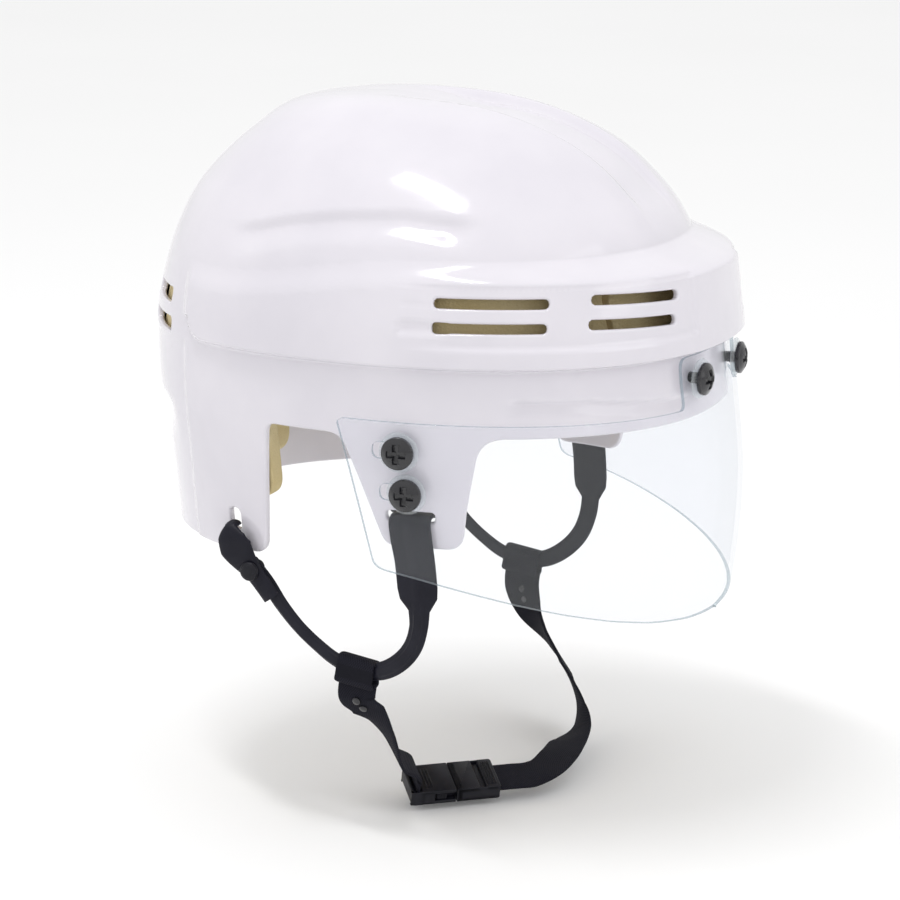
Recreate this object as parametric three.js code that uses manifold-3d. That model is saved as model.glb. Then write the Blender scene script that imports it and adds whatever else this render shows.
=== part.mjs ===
// Ice-hockey helmet with a clear visor: a one-piece moulded shell with a foam liner, a visor held by six
// screws, a rubber ear loop on each side and a webbing chin strap with a side-release buckle.
// Millimetres. +X is the wearer's front, +Y the wearer's left, +Z up. The origin is in the middle of the
// head cavity, just below brow height.
import * as THREE from 'three';
import { mergeVertices } from 'three/addons/utils/BufferGeometryUtils.js';
import { LoftGeometry } from 'three/addons/geometries/LoftGeometry.js';
import Module from 'manifold-3d';

const wasm = await Module();
wasm.setup();

// ---------------------------------------------------------------- driving dimensions

const WALL = 3;
const GAP = 0.3;

// The smooth shell, crown to rim: height, reach to the front, reach to the back, half width, widest x.
const SHELL_ROWS = [
  [101.5, -10, 10, 0, -10],
  [98, 35, 66, 31, -4],
  [84, 71, 90, 61, -4],
  [64, 94, 111, 83, -4],
  [44, 107, 122, 95.5, -6],
  [20, 115, 129.5, 102.5, -6],
  [0, 122, 133, 104, -6],
  [-26, 125, 132.5, 104.5, -6],
  [-50, 125.5, 128, 103, -6],
  [-76, 124.5, 126, 99.5, -6],
  [-98, 124, 125, 96, -6],
];
const SECTION_POWER = 2.2;

// The raised band round the brow and sides, above the visor.
const BAND = { low: 0.6, lip: 3, full: 33, top: 43, rearEnd: -92, rearFull: -84 };
const BAND_REACH = { side: 3.5, front: 131.8, lean: 0.11 };

// The shallow channel along the crown, between the two lobes.
const CHANNEL = { depth: 3, half: 22, edge: 8, rear: -25, deep: 15, fade: 85, front: 104 };

const BRIM_Z = -27.5;
const EAR_TOP_Z = -28.5;
const FRONT_FLAP_Z = -77;
const REAR_RIM_Z = -91;

// The four slots of each front side, in two lengths end to end: middle, length and the way each one faces.
const VENT = { height: 4, levels: [28, 18], depth: 44 };
const VENT_REAR_PART = { x: 58, y: 92, length: 50, faceX: 0.42, faceY: 0.91, drop: 0 };
const VENT_FRONT_PART = { x: 110, y: 55, length: 44, faceX: 0.74, faceY: 0.67, drop: 4 };
const REAR_VENT = { height: 6.5, levels: [16, 3.5], depth: 50 };
const REAR_VENT_PART = { x: -120, y: 51, length: 32.4, faceX: -0.88, faceY: 0.47 };

const VISOR_THICK = 2.2;
const VISOR_ROWS = [
  [4, 128.1, 0, 108.6, -6],
  [-10, 129.2, 0, 108, -6],
  [-28, 130.8, 0, 107.5, -6],
  [-60, 133, 0, 107.3, -6],
  [-90, 131.4, 0, 106.3, -6],
  [-122, 127.5, 0, 102.4, -6],
];
const VISOR_TAB = { top: 0.1, half: 31.5, corner: 5 };

const SCREW = { head: 7, dome: 4.2, shank: 2.5, hole: 3 };
const WASHER = { radius: 8.4, thick: 1.4 };
const NUT = { flange: 7.2, flangeThick: 1.6, barrel: 4.4, barrelLength: 5 };
// How far each nut's flange stands behind the visor's two walls, and where the screws are.
const NUT_STANDOFF = { upper: 3.2, lower: 4.6, front: 5.4 };
const SIDE_SCREWS = [
  ['upper', 21.4, -34.6],
  ['lower', 24, -52.6],
];
const FRONT_SCREW = { y: 22.5, z: -10, turn: 0.105, out: 0.5 };

const WEB = { width: 18, thick: 1.6 };
const BUCKLE = { middle: [17.4, -38, -203.2], headingDeg: 38.9, rollDeg: 17 };
const BUCKLE_SIZE = { width: 20.5, thick: 7, half: 20.5 };
const PRONG = { reach: 12.5, height: 3 };

const COLOURS = {
  shell: 0xf1f0f6,
  visor: 0xdcecec,
  foam: 0xd9cfa0,
  rubber: 0x17171d,
  hardware: 0x111116,
  nut: 0xb9bcc0,
  clear: 0xf2f6f7,
  webbing: 0x1d1e26,
};

// ---------------------------------------------------------------- helpers

const vec = (x, y, z) => new THREE.Vector3(x, y, z);
const clamp01 = (v) => Math.min(1, Math.max(0, v));

function smooth(from, to, v) {
  const t = clamp01((v - from) / (to - from));
  return t * t * (3 - 2 * t);
}

function material(name, roughness, metalness = 0) {
  return new THREE.MeshStandardMaterial({ color: COLOURS[name], roughness, metalness });
}

const plain = (geometry) => new THREE.BufferGeometry().copy(geometry);

// A closed geometry with shared corners, turned so that its faces point out.
function closed(geometry) {
  const bare = plain(geometry);
  bare.deleteAttribute('normal');
  bare.deleteAttribute('uv');
  const merged = mergeVertices(bare, 1e-3);
  const kept = [];
  const corners = merged.index.array;
  for (let i = 0; i < corners.length; i += 3) {
    const [a, b, c] = [corners[i], corners[i + 1], corners[i + 2]];
    if (a !== b && b !== c && c !== a) {
      kept.push(a, b, c);
    }
  }
  merged.setIndex(kept);
  if (volume(merged) < 0) {
    const index = merged.index.array;
    for (let i = 0; i < index.length; i += 3) {
      [index[i], index[i + 1]] = [index[i + 1], index[i]];
    }
  }
  return merged;
}

function volume(geometry) {
  const p = geometry.attributes.position;
  const index = geometry.index.array;
  const [a, b, c] = [vec(), vec(), vec()];
  let sum = 0;
  for (let i = 0; i < index.length; i += 3) {
    a.fromBufferAttribute(p, index[i]);
    b.fromBufferAttribute(p, index[i + 1]);
    c.fromBufferAttribute(p, index[i + 2]);
    sum += a.dot(b.cross(c));
  }
  return sum / 6;
}

function toSolid(geometry) {
  const g = closed(geometry);
  return new wasm.Manifold(
    new wasm.Mesh({
      numProp: 3,
      vertProperties: Float32Array.from(g.attributes.position.array),
      triVerts: Uint32Array.from(g.index.array),
    }),
  );
}

function toGeometry(solid) {
  const mesh = solid.getMesh();
  const geometry = new THREE.BufferGeometry();
  geometry.setAttribute('position', new THREE.BufferAttribute(mesh.vertProperties, 3));
  geometry.setIndex(new THREE.BufferAttribute(mesh.triVerts, 1));
  return geometry;
}

function cut(geometry, cutters) {
  let solid = toSolid(geometry);
  for (const cutter of cutters) {
    solid = solid.subtract(toSolid(cutter));
  }
  return toGeometry(solid);
}

function join(geometries) {
  let solid = toSolid(geometries[0]);
  for (const other of geometries.slice(1)) {
    solid = solid.add(toSolid(other));
  }
  return toGeometry(solid);
}

function mirrored(geometry) {
  const copy = plain(geometry);
  copy.applyMatrix4(new THREE.Matrix4().makeScale(1, -1, 1));
  return closed(copy);
}

// A box, cylinder or other geometry whose own Z axis is turned to the given direction and moved to a place.
function aimed(geometry, at, direction, across = null) {
  const z = direction.clone().normalize();
  const hint = across ?? (Math.abs(z.z) > 0.9 ? vec(1, 0, 0) : vec(0, 0, 1));
  const x = hint.clone().sub(z.clone().multiplyScalar(hint.dot(z))).normalize();
  const y = z.clone().cross(x);
  const matrix = new THREE.Matrix4().makeBasis(x, y, z).setPosition(at);
  return plain(geometry).applyMatrix4(matrix);
}

// A lathe about its own Z axis from [radius, height] points.
function lathe(points, segments = 20) {
  const geometry = new THREE.LatheGeometry(points.map(([r, z]) => new THREE.Vector2(r, z)), segments);
  return closed(geometry.rotateX(Math.PI / 2));
}

// A capped loft through closed sections, each turned the way that makes the faces point out.
function loft(sections) {
  const [first, second] = sections;
  const turn = vec(0, 0, 0);
  const ahead = vec(0, 0, 0);
  first.forEach((p, i) => {
    const q = first[(i + 1) % first.length];
    turn.add(p.clone().sub(first[0]).cross(q.clone().sub(first[0])));
    ahead.add(second[i]).sub(p);
  });
  const ordered = turn.dot(ahead) > 0 ? sections : sections.map((s) => [...s].reverse());
  return new LoftGeometry(ordered, { capStart: true, capEnd: true });
}

// A rounded outline from [x, y, radius] corners, each corner cut by a quadratic curve.
function roundedShape(corners) {
  const shape = new THREE.Shape();
  corners.forEach(([x, y, r], i) => {
    const here = new THREE.Vector2(x, y);
    const [px, py] = corners[(i + corners.length - 1) % corners.length];
    const [nx, ny] = corners[(i + 1) % corners.length];
    const from = new THREE.Vector2(px, py).sub(here).setLength(r).add(here);
    const to = new THREE.Vector2(nx, ny).sub(here).setLength(r).add(here);
    if (i === 0) {
      shape.moveTo(from.x, from.y);
    } else {
      shape.lineTo(from.x, from.y);
    }
    if (r > 0) {
      shape.quadraticCurveTo(x, y, to.x, to.y);
    }
  });
  shape.closePath();
  return shape;
}

// A side outline, given in x and z, extruded along Y between two values.
function sideExtrude(corners, yFrom, yTo, curveSegments = 4) {
  const depth = yTo - yFrom;
  const options = { depth, bevelEnabled: false, curveSegments };
  const geometry = new THREE.ExtrudeGeometry(roundedShape(corners), options);
  geometry.rotateX(Math.PI / 2);
  geometry.translate(0, yTo, 0);
  return geometry;
}

// ---------------------------------------------------------------- the moulded surface

// A smooth value of each column of a table of rows at parameter t (row number), by Catmull-Rom.
function rowAt(rows, t, crown) {
  const last = rows.length - 1;
  const i = Math.min(last - 1, Math.max(0, Math.floor(t)));
  const f = t - i;
  const p1 = rows[i];
  const p2 = rows[i + 1];
  const before = crown ? rows[1].map((v, k) => (k > 0 && k < 4 ? -v : v)) : p1.map((v, k) => 2 * v - p2[k]);
  const p0 = i > 0 ? rows[i - 1] : before;
  const p3 = i + 2 <= last ? rows[i + 2] : p2.map((v, k) => 2 * v - p1[k]);
  return p1.map((v, k) => {
    const a = 2 * v;
    const b = p2[k] - p0[k];
    const c = 2 * p0[k] - 5 * v + 4 * p2[k] - p3[k];
    const d = 3 * v - p0[k] - 3 * p2[k] + p3[k];
    return 0.5 * (a + b * f + c * f * f + d * f * f * f);
  });
}

// The row parameter at which a table reaches a height.
function rowForHeight(rows, z, crown) {
  let low = 0;
  let high = rows.length - 1;
  for (let i = 0; i < 30; i += 1) {
    const mid = (low + high) / 2;
    if (rowAt(rows, mid, crown)[0] > z) {
      low = mid;
    } else {
      high = mid;
    }
  }
  return (low + high) / 2;
}

function ringPoint([z, front, back, half, wide], angle) {
  const c = Math.cos(angle);
  const s = Math.sin(angle);
  const cp = Math.sign(c) * Math.abs(c) ** (2 / SECTION_POWER);
  const sp = Math.sign(s) * Math.abs(s) ** (2 / SECTION_POWER);
  const x = c >= 0 ? wide + (front - wide) * cp : wide + (back + wide) * cp;
  return vec(x, half * sp, z);
}

// The shell's outer surface at row parameter t and angle round the head (0 is the front, 90 degrees left).
function shellAt(t, angle, banded = true) {
  const row = rowAt(SHELL_ROWS, t, true);
  const z = row[0];
  const base = ringPoint(row, angle);
  if (!banded) {
    return base;
  }
  const mask = smooth(BAND.low, BAND.lip, z) * (1 - smooth(BAND.full, BAND.top, z));
  const reach = smooth(BAND.rearEnd, BAND.rearFull, base.x);
  const front = BAND_REACH.front - BAND_REACH.lean * Math.max(0, z - BAND.lip);
  const raised = [z, front, row[2], row[3] + BAND_REACH.side, row[4]];
  const point = base.lerp(ringPoint(raised, angle), mask * reach);
  const across = 1 - smooth(CHANNEL.half - CHANNEL.edge, CHANNEL.half, Math.abs(point.y));
  const faded = 1 - smooth(CHANNEL.fade, CHANNEL.front, point.x);
  const along = smooth(CHANNEL.rear, CHANNEL.deep, point.x) * faded;
  point.z -= CHANNEL.depth * across * along * smooth(BAND.top, BAND.top + 10, z);
  return point;
}

function shellNormal(t, angle, banded) {
  const dt = 0.02;
  const da = 0.01;
  const above = shellAt(Math.max(0, t - dt), angle, banded);
  const along = shellAt(Math.min(SHELL_ROWS.length - 1, t + dt), angle, banded).sub(above);
  const round = shellAt(t, angle + da, banded).sub(shellAt(t, angle - da, banded));
  return along.cross(round).normalize();
}

// A point at a depth below the shell's outer surface.
function shellDepth(t, angle, depth, banded = true) {
  const point = shellAt(t, angle, banded);
  if (t < 0.05) {
    return point.add(vec(0, 0, -depth));
  }
  return point.addScaledVector(shellNormal(t, angle, banded), -depth);
}

// The same by height, on the smooth shell behind the band, which is what the liner follows.
function linerByHeight(z, angle, depth) {
  return shellDepth(rowForHeight(SHELL_ROWS, z, true), angle, depth, false);
}

// The angle round the head at which the surface at a height passes a given x, on the left side.
function angleForX(surface, x) {
  let low = 0;
  let high = Math.PI;
  for (let i = 0; i < 30; i += 1) {
    const mid = (low + high) / 2;
    if (surface(mid).x > x) {
      low = mid;
    } else {
      high = mid;
    }
  }
  return (low + high) / 2;
}

function visorAt(z, angle, depth = 0) {
  const row = rowAt(VISOR_ROWS, rowForHeight(VISOR_ROWS, z, false), false);
  const inner = [row[0], row[1] - depth, row[2], row[3] - depth, row[4]];
  return ringPoint(inner, angle);
}

// ---------------------------------------------------------------- shell

const SHELL_HEIGHTS = [96, 86, 74, 60, 49, 43, 38, 33, 20, 3, 0.6, -14, -32, -52, -74, -96];
const SHELL_SIDES = 48;

function shellBody() {
  const angles = Array.from({ length: SHELL_SIDES }, (_, i) => (i / SHELL_SIDES) * 2 * Math.PI);
  const ring = (t, depth) => angles.map((a) => shellDepth(t, a, depth));
  const rows = [0, 0.25, 0.6, ...SHELL_HEIGHTS.map((z) => rowForHeight(SHELL_ROWS, z, true))];
  const outer = rows.map((t) => ring(t, 0));
  const inner = rows.map((t) => ring(t, WALL)).reverse();
  return new LoftGeometry([...outer, ...inner]);
}

// Everything below the lower edge: the brow, the front flap, the ear opening and the rear flap.
function lowerOutline() {
  const reach = 170;
  const floor = -140;
  return sideExtrude(
    [
      [reach, BRIM_Z, 0],
      [56, BRIM_Z, 10],
      [49.5, -60, 2],
      [47, FRONT_FLAP_Z, 7],
      [14, FRONT_FLAP_Z, 5],
      [-4, EAR_TOP_Z, 7],
      [-40, EAR_TOP_Z, 4],
      [-45, REAR_RIM_Z + 2, 7],
      [-70, REAR_RIM_Z, 3],
      [-reach, REAR_RIM_Z, 0],
      [-reach, floor, 0],
      [reach, floor, 0],
    ],
    -150,
    150,
  );
}

// A long slot with round ends, standing on its own Z axis.
function slotCutter(length, height, depth) {
  const r = height / 2;
  const corners = [
    [-length / 2, -r, r],
    [length / 2, -r, r],
    [length / 2, r, r],
    [-length / 2, r, r],
  ];
  const options = { depth, bevelEnabled: false, curveSegments: 4 };
  return new THREE.ExtrudeGeometry(roundedShape(corners), options).translate(0, 0, -depth / 2);
}

// The slot cutters of one vent on both sides, at each of its levels.
function ventPair(vent, levels, height, depth, dropAt) {
  return [-1, 1].flatMap((side) =>
    levels.map((z) => {
      const way = vec(vent.faceX, side * vent.faceY, 0);
      const along = vec(vent.faceY, -side * vent.faceX, 0);
      const place = vec(vent.x, side * vent.y, z - dropAt(z));
      return closed(aimed(slotCutter(vent.length, height, depth), place, way, along));
    }),
  );
}

function ventCutters() {
  const { height, levels, depth } = VENT;
  const [upper, lower] = levels;
  const frontDrop = (z) => VENT_FRONT_PART.drop * smooth(lower, upper + 60, z);
  return [
    ...ventPair(VENT_REAR_PART, levels, height, depth, () => VENT_REAR_PART.drop),
    ...ventPair(VENT_FRONT_PART, levels, height, depth, frontDrop),
    ...ventPair(REAR_VENT_PART, REAR_VENT.levels, REAR_VENT.height, REAR_VENT.depth, () => 0),
  ];
}

const FLAP_SLOT = { x: 26, z: -63, width: 21, height: 4.6 };
const KEYHOLE = { x: -61.5, z: -76, width: 7, height: 9 };

function strapHoleCutters() {
  return [-1, 1].flatMap((side) => {
    const out = vec(0, side, 0);
    const slot = slotCutter(FLAP_SLOT.width, FLAP_SLOT.height, 30);
    const keyhole = slotCutter(KEYHOLE.height, KEYHOLE.width, 30);
    return [
      aimed(slot, vec(FLAP_SLOT.x, side * 100, FLAP_SLOT.z), out, vec(1, 0, 0)),
      aimed(keyhole, vec(KEYHOLE.x, side * 92, KEYHOLE.z), out, vec(0, 0, 1)),
    ];
  });
}

// Where each visor screw stands: the point on the visor's outside and the way its head faces.
function screwPlaces() {
  const places = [];
  for (const [side, word] of [[-1, 'right'], [1, 'left']]) {
    for (const [level, x, z] of SIDE_SCREWS) {
      const angle = angleForX((a) => visorAt(z, a), x);
      const p = visorAt(z, angle);
      const q = visorAt(z, angle + 0.02);
      const way = vec(q.x - p.x, q.y - p.y, 0).cross(vec(0, 0, 1));
      const at = vec(p.x, side * p.y, z);
      places.push({ name: `${word}_${level}`, at, way: vec(way.x, side * way.y, 0).normalize() });
    }
    const { y, z, turn, out } = FRONT_SCREW;
    const angle = Math.asin((y / visorAt(z, Math.PI / 2).y) ** (SECTION_POWER / 2));
    const p = visorAt(z, angle);
    const way = vec(1, side * turn, 0).normalize();
    places.push({ name: `front_${word}`, at: vec(p.x + out, side * p.y, p.z), way });
  }
  return places;
}
const SCREWS = screwPlaces();

function screwHoles(radius) {
  return SCREWS.map(({ at, way }) => {
    const drill = new THREE.CylinderGeometry(radius, radius, 30, 10).rotateX(Math.PI / 2);
    return aimed(drill, at, way);
  });
}

function shell() {
  const holes = [...ventCutters(), ...strapHoleCutters(), ...screwHoles(SCREW.hole)];
  return cut(shellBody(), [lowerOutline(), ...holes]);
}

// ---------------------------------------------------------------- visor and its fasteners

// The visor's lower edge at a given x: level with the flaps at the sides, lowest at the nose.
const VISOR_EDGE = { start: 12, z: -85, reach: 121, drop: 33, power: 1.2 };
const visorLowZ = (x) =>
  VISOR_EDGE.z - VISOR_EDGE.drop * clamp01((x - VISOR_EDGE.start) / VISOR_EDGE.reach) ** VISOR_EDGE.power;

function visor() {
  const columns = 28;
  const angles = Array.from({ length: columns + 1 }, (_, i) => {
    const span = 0.545 * Math.PI;
    return -span + (2 * span * i) / columns;
  });
  const heights = [6, -20, -45, -70, -95, -122];
  const sections = angles.map((a) => {
    const outer = heights.map((z) => visorAt(z, a));
    const inner = heights.map((z) => visorAt(z, a, VISOR_THICK)).reverse();
    return [...outer, ...inner];
  });
  const sheet = loft(sections);
  const reach = 170;
  const low = [12, 30, 52, 75, 95, 115, 133].map((x) => [x, visorLowZ(x), 0]);
  low[0][2] = 4;
  const side = sideExtrude(
    [[-5, -21, 3], ...low, [reach, visorLowZ(133), 0], [reach, 20, 0], [92, 20, 0], [92, -22, 3]],
    -150,
    150,
  );
  const tabCorner = VISOR_TAB.corner;
  const tab = new THREE.ExtrudeGeometry(
    roundedShape([
      [-VISOR_TAB.half, -40, 0],
      [VISOR_TAB.half, -40, 0],
      [VISOR_TAB.half, VISOR_TAB.top, tabCorner],
      [-VISOR_TAB.half, VISOR_TAB.top, tabCorner],
    ]),
    { depth: 80, bevelEnabled: false, curveSegments: 4 },
  );
  const tabSolid = toSolid(aimed(tab, vec(90, 0, 0), vec(1, 0, 0), vec(0, 1, 0)));
  const belowTop = toSolid(new THREE.BoxGeometry(400, 400, 200).translate(0, 0, -122));
  const allowed = tabSolid.add(belowTop).intersect(toSolid(side));
  let solid = toSolid(sheet).intersect(allowed);
  for (const drill of screwHoles(SCREW.hole)) {
    solid = solid.subtract(toSolid(drill));
  }
  return toGeometry(solid);
}

function screwSolid() {
  const { head, dome, shank } = SCREW;
  const under = WASHER.thick + 2 * GAP + 0.1;
  const reach = -(VISOR_THICK + WALL + 3.5);
  return lathe(
    [
      [0, reach],
      [shank, reach],
      [shank, under],
      [head, under],
      [head, under + 1.2],
      [head * 0.72, under + dome * 0.8],
      [head * 0.3, under + dome],
      [0, under + dome],
    ],
    12,
  );
}

function washerSolid() {
  const { radius, thick } = WASHER;
  const hole = SCREW.hole - 0.1;
  const low = GAP + 0.1;
  const top = GAP + thick;
  return lathe([[hole, low], [radius, low], [radius - 0.8, top], [hole, top], [hole, low]], 12);
}

// The T-nut inside the shell, its flange against the inner wall.
function nutSolid(depth) {
  const hole = SCREW.shank + 0.35;
  const back = -depth;
  return lathe(
    [
      [hole, back],
      [NUT.flange, back],
      [NUT.flange, back - NUT.flangeThick],
      [NUT.barrel, back - NUT.flangeThick],
      [NUT.barrel, back - NUT.barrelLength],
      [hole, back - NUT.barrelLength],
      [hole, back],
    ],
    10,
  );
}

// ---------------------------------------------------------------- foam liner

const PAD_GAP = 1;
const CROWN_PAD_THICK = 9;

// A pad that follows the inside of the shell between two angles and two heights.
function pad(fromDeg, toDeg, low, high, thick, steps = 6) {
  const sections = [];
  for (let i = 0; i <= steps; i += 1) {
    const angle = THREE.MathUtils.degToRad(fromDeg + ((toDeg - fromDeg) * i) / steps);
    const near = WALL + PAD_GAP;
    const mid = (low + high) / 2;
    const end = i === 0 || i === steps ? 0.72 : 1;
    const back = [low + 1.5, mid, high - 1.5].map((z) => linerByHeight(z, angle, near));
    const face = [high - 3, mid, low + 3].map((z) => linerByHeight(z, angle, near + thick * end));
    sections.push([...back, ...face]);
  }
  return loft(sections);
}

function crownPad() {
  const angles = Array.from({ length: 24 }, (_, i) => (i / 24) * 2 * Math.PI);
  const ring = (t, depth) => angles.map((a) => shellDepth(t, a, depth));
  const near = WALL + PAD_GAP + CHANNEL.depth / 2;
  const back = [0, 0.6, 1.25].map((t) => ring(t, near));
  const face = [1.15, 0.6, 0].map((t) => ring(t, near + CROWN_PAD_THICK));
  return new LoftGeometry([...back, ...face]);
}

function foreheadPad() {
  const pockets = SCREWS.filter((s) => s.name.startsWith('front')).map(({ at, way }) => {
    const radius = NUT.flange + 1.2;
    const drill = new THREE.CylinderGeometry(radius, radius, 40, 12).rotateX(Math.PI / 2);
    return aimed(drill, at, way);
  });
  return cut(pad(-30, 30, -24, 34, 10, 8), pockets);
}

// ---------------------------------------------------------------- straps

// The middle, the directions across and out, and the half width of a flat strap at a fraction of its length.
function strapFrame(stations, curve, t) {
  const last = stations.length - 1;
  const k = Math.min(last - 1, Math.floor(t * last));
  const f = t * last - k;
  const way = curve.getTangent(t);
  const across = vec(...stations[k].across).lerp(vec(...stations[k + 1].across), f);
  across.addScaledVector(way, -across.dot(way)).normalize();
  const half = THREE.MathUtils.lerp(stations[k].width, stations[k + 1].width, f) / 2;
  return { place: curve.getPoint(t), across, out: way.cross(across), half };
}

const strapCurve = (stations) =>
  new THREE.CatmullRomCurve3(stations.map((s) => vec(...s.at)), false, 'centripetal');

// A flat strap through stations of place, direction across the strap and width.
function strap(stations, thick, steps) {
  const curve = strapCurve(stations);
  const sections = [];
  for (let i = 0; i <= steps; i += 1) {
    const { place, across, out, half } = strapFrame(stations, curve, i / steps);
    const corner = (a, b) => {
      const edge = place.clone().addScaledVector(across, a * half);
      return edge.addScaledVector(out, (b * thick) / 2);
    };
    sections.push([corner(-1, -1), corner(1, -1), corner(1, 1), corner(-1, 1)]);
  }
  return loft(sections);
}

const X_WAY = [1, 0, 0];
const FLAP_WAY = [1, 0.14, 0];

// The right side's rubber ear loop: out through the flap's slot, down, round under the ear and up behind.
const LOOP_STATIONS = [
  { at: [26, -90.4, -63], across: X_WAY, width: 25 },
  { at: [26, -92.4, -63], across: X_WAY, width: 25 },
  { at: [26, -93.4, -63], across: X_WAY, width: 18.4 },
  { at: [26, -98, -63], across: FLAP_WAY, width: 18.2 },
  { at: [26.2, -100.5, -65], across: FLAP_WAY, width: 18.2 },
  { at: [26.8, -100.6, -71], across: FLAP_WAY, width: 18.2 },
  { at: [28.3, -99.9, -82], across: FLAP_WAY, width: 17.6 },
  { at: [29.4, -99.1, -97], across: FLAP_WAY, width: 17 },
  { at: [29.6, -98.6, -104], across: FLAP_WAY, width: 11 },
  { at: [28.8, -97.6, -112], across: [1, 0, -0.2], width: 9 },
  { at: [25.6, -96.4, -121], across: [0.85, 0, -0.5], width: 9 },
  { at: [19, -95, -129], across: [0.6, 0, -0.8], width: 8.6 },
  { at: [9.5, -93.4, -134.8], across: [0.3, 0, -0.95], width: 8 },
  { at: [-2, -92, -136.3], across: [0, 0, -1], width: 7 },
  { at: [-13, -91.4, -133.4], across: [-0.3, 0, -0.95], width: 6.4 },
  { at: [-22.5, -91.2, -127.6], across: [-0.55, 0, -0.85], width: 6 },
  { at: [-31, -91.2, -120.8], across: [-0.65, 0, -0.75], width: 6 },
  { at: [-39, -91.2, -112.2], across: [-0.75, 0, -0.65], width: 6.4 },
  { at: [-46, -91.4, -102.6], across: [-0.85, 0, -0.55], width: 7 },
  { at: [-53.5, -92, -93.5], across: [-0.85, 0, -0.55], width: 7 },
];
const LOOP_THICK = 2;

// The crescent tongue that hooks into the keyhole of the rear flap, doubled over the end of the loop.
const TONGUE_STATIONS = [
  { at: [-61.5, -90.6, -77.5], across: X_WAY, width: 5.6 },
  { at: [-61.3, -95.2, -78.2], across: X_WAY, width: 6 },
  { at: [-60.4, -96.9, -82], across: [1, 0, 0.1], width: 13 },
  { at: [-58.4, -96.6, -87], across: [0.95, 0, 0.25], width: 16.5 },
  { at: [-55, -96.1, -92], across: [0.88, 0, 0.45], width: 13 },
  { at: [-50.5, -95.3, -97.5], across: [0.85, 0, 0.52], width: 9 },
  { at: [-46, -94.6, -103.5], across: [0.85, 0, 0.52], width: 8.6 },
  { at: [-42.5, -94.3, -108.5], across: [0.8, 0, 0.58], width: 8 },
];
const TONGUE_THICK = 2.2;
const BUTTON_AT = vec(-51.4, -93.7, -96.4);
const BUTTON = { shank: 1.5, head: 4.3, hole: 1.8 };

function buttonHole() {
  const drill = new THREE.CylinderGeometry(BUTTON.hole, BUTTON.hole, 16, 10).rotateX(Math.PI / 2);
  return aimed(drill, BUTTON_AT, vec(0, -1, 0));
}

const earLoop = () => cut(strap(LOOP_STATIONS, LOOP_THICK, 36), [buttonHole()]);
const rearTongue = () => cut(strap(TONGUE_STATIONS, TONGUE_THICK, 18), [buttonHole()]);

function loopButton() {
  const { shank, head } = BUTTON;
  const solid = lathe(
    [
      [0, -4.4],
      [head - 1, -4.4],
      [head - 1, -3.3],
      [shank, -3.3],
      [shank, 3.9],
      [head, 3.9],
      [head - 0.6, 5.5],
      [0, 5.9],
    ],
    14,
  );
  return aimed(solid, BUTTON_AT, vec(0, -1, 0));
}

// The webbing sleeve folded round the bottom of the ear loop.
const SLEEVE = { x: -2.4, y: -92.2, z: -136.2, width: WEB.width, wall: 1.5, tiltDeg: 8 };

function strapSleeve() {
  const outer = roundedShape([[-4.2, -8.2, 3.6], [4.2, -8.2, 3.6], [4.2, 7.8, 3.6], [-4.2, 7.8, 3.6]]);
  outer.holes.push(roundedShape([[-2.6, -6.6, 1.2], [2.6, -6.6, 1.2], [2.6, 6.4, 1.2], [-2.6, 6.4, 1.2]]));
  const options = { depth: SLEEVE.width, bevelEnabled: false, curveSegments: 4 };
  const tube = new THREE.ExtrudeGeometry(outer, options);
  tube.translate(0, 0, -SLEEVE.width / 2);
  const tilt = THREE.MathUtils.degToRad(SLEEVE.tiltDeg);
  const along = vec(Math.cos(tilt), 0, -Math.sin(tilt));
  return aimed(tube, vec(SLEEVE.x, SLEEVE.y, SLEEVE.z), along, vec(0, 1, 0));
}

// ---------------------------------------------------------------- buckle and webbing

// The buckle's own axes: along from the socket to the plug, across its width, up through its face.
function buckleAxes() {
  const heading = THREE.MathUtils.degToRad(BUCKLE.headingDeg);
  const roll = THREE.MathUtils.degToRad(BUCKLE.rollDeg);
  const along = vec(Math.cos(heading), Math.sin(heading), 0);
  const level = vec(Math.sin(heading), -Math.cos(heading), 0);
  const across = level.clone().multiplyScalar(Math.cos(roll)).add(vec(0, 0, -Math.sin(roll)));
  const up = across.clone().cross(along);
  return { along, across, up };
}
const AXES = buckleAxes();
const BUCKLE_MATRIX = new THREE.Matrix4()
  .makeBasis(AXES.along, AXES.across.clone().negate(), AXES.up)
  .setPosition(vec(...BUCKLE.middle));

const placedOnBuckle = (geometry) => plain(geometry).applyMatrix4(BUCKLE_MATRIX);

function bucklePoint(s, across, up) {
  const p = vec(...BUCKLE.middle);
  return p.addScaledVector(AXES.along, s).addScaledVector(AXES.across, across).addScaledVector(AXES.up, up);
}

// A block in the buckle's own axes: from one length to another, with a half width and a half height.
function block(from, to, width, height, middle = 0) {
  return new THREE.BoxGeometry(to - from, width, height).translate((from + to) / 2, middle, 0);
}

function buckleOutline(from, to, width, depth, corner) {
  const h = width / 2;
  const shape = roundedShape([[from, -h, corner], [to, -h, 0.6], [to, h, 0.6], [from, h, corner]]);
  const options = { depth, bevelEnabled: false, curveSegments: 4 };
  return new THREE.ExtrudeGeometry(shape, options).translate(0, 0, -depth / 2);
}

const CAVITY = { width: 16.6, height: 3.8, depth: 14.2 };
const CHANNEL_CLEAR = 0.4;

function buckleSocket() {
  const body = buckleOutline(-BUCKLE_SIZE.half, 0, BUCKLE_SIZE.width, BUCKLE_SIZE.thick, 3);
  const cavity = block(-CAVITY.depth, 1, CAVITY.width, CAVITY.height);
  const windows = block(-9.6, 1, BUCKLE_SIZE.width + 4, CAVITY.height);
  const webSlot = block(-18.4, -15.8, WEB.width + 0.8, BUCKLE_SIZE.thick + 4);
  return placedOnBuckle(cut(body, [cavity, windows, webSlot]));
}

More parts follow.
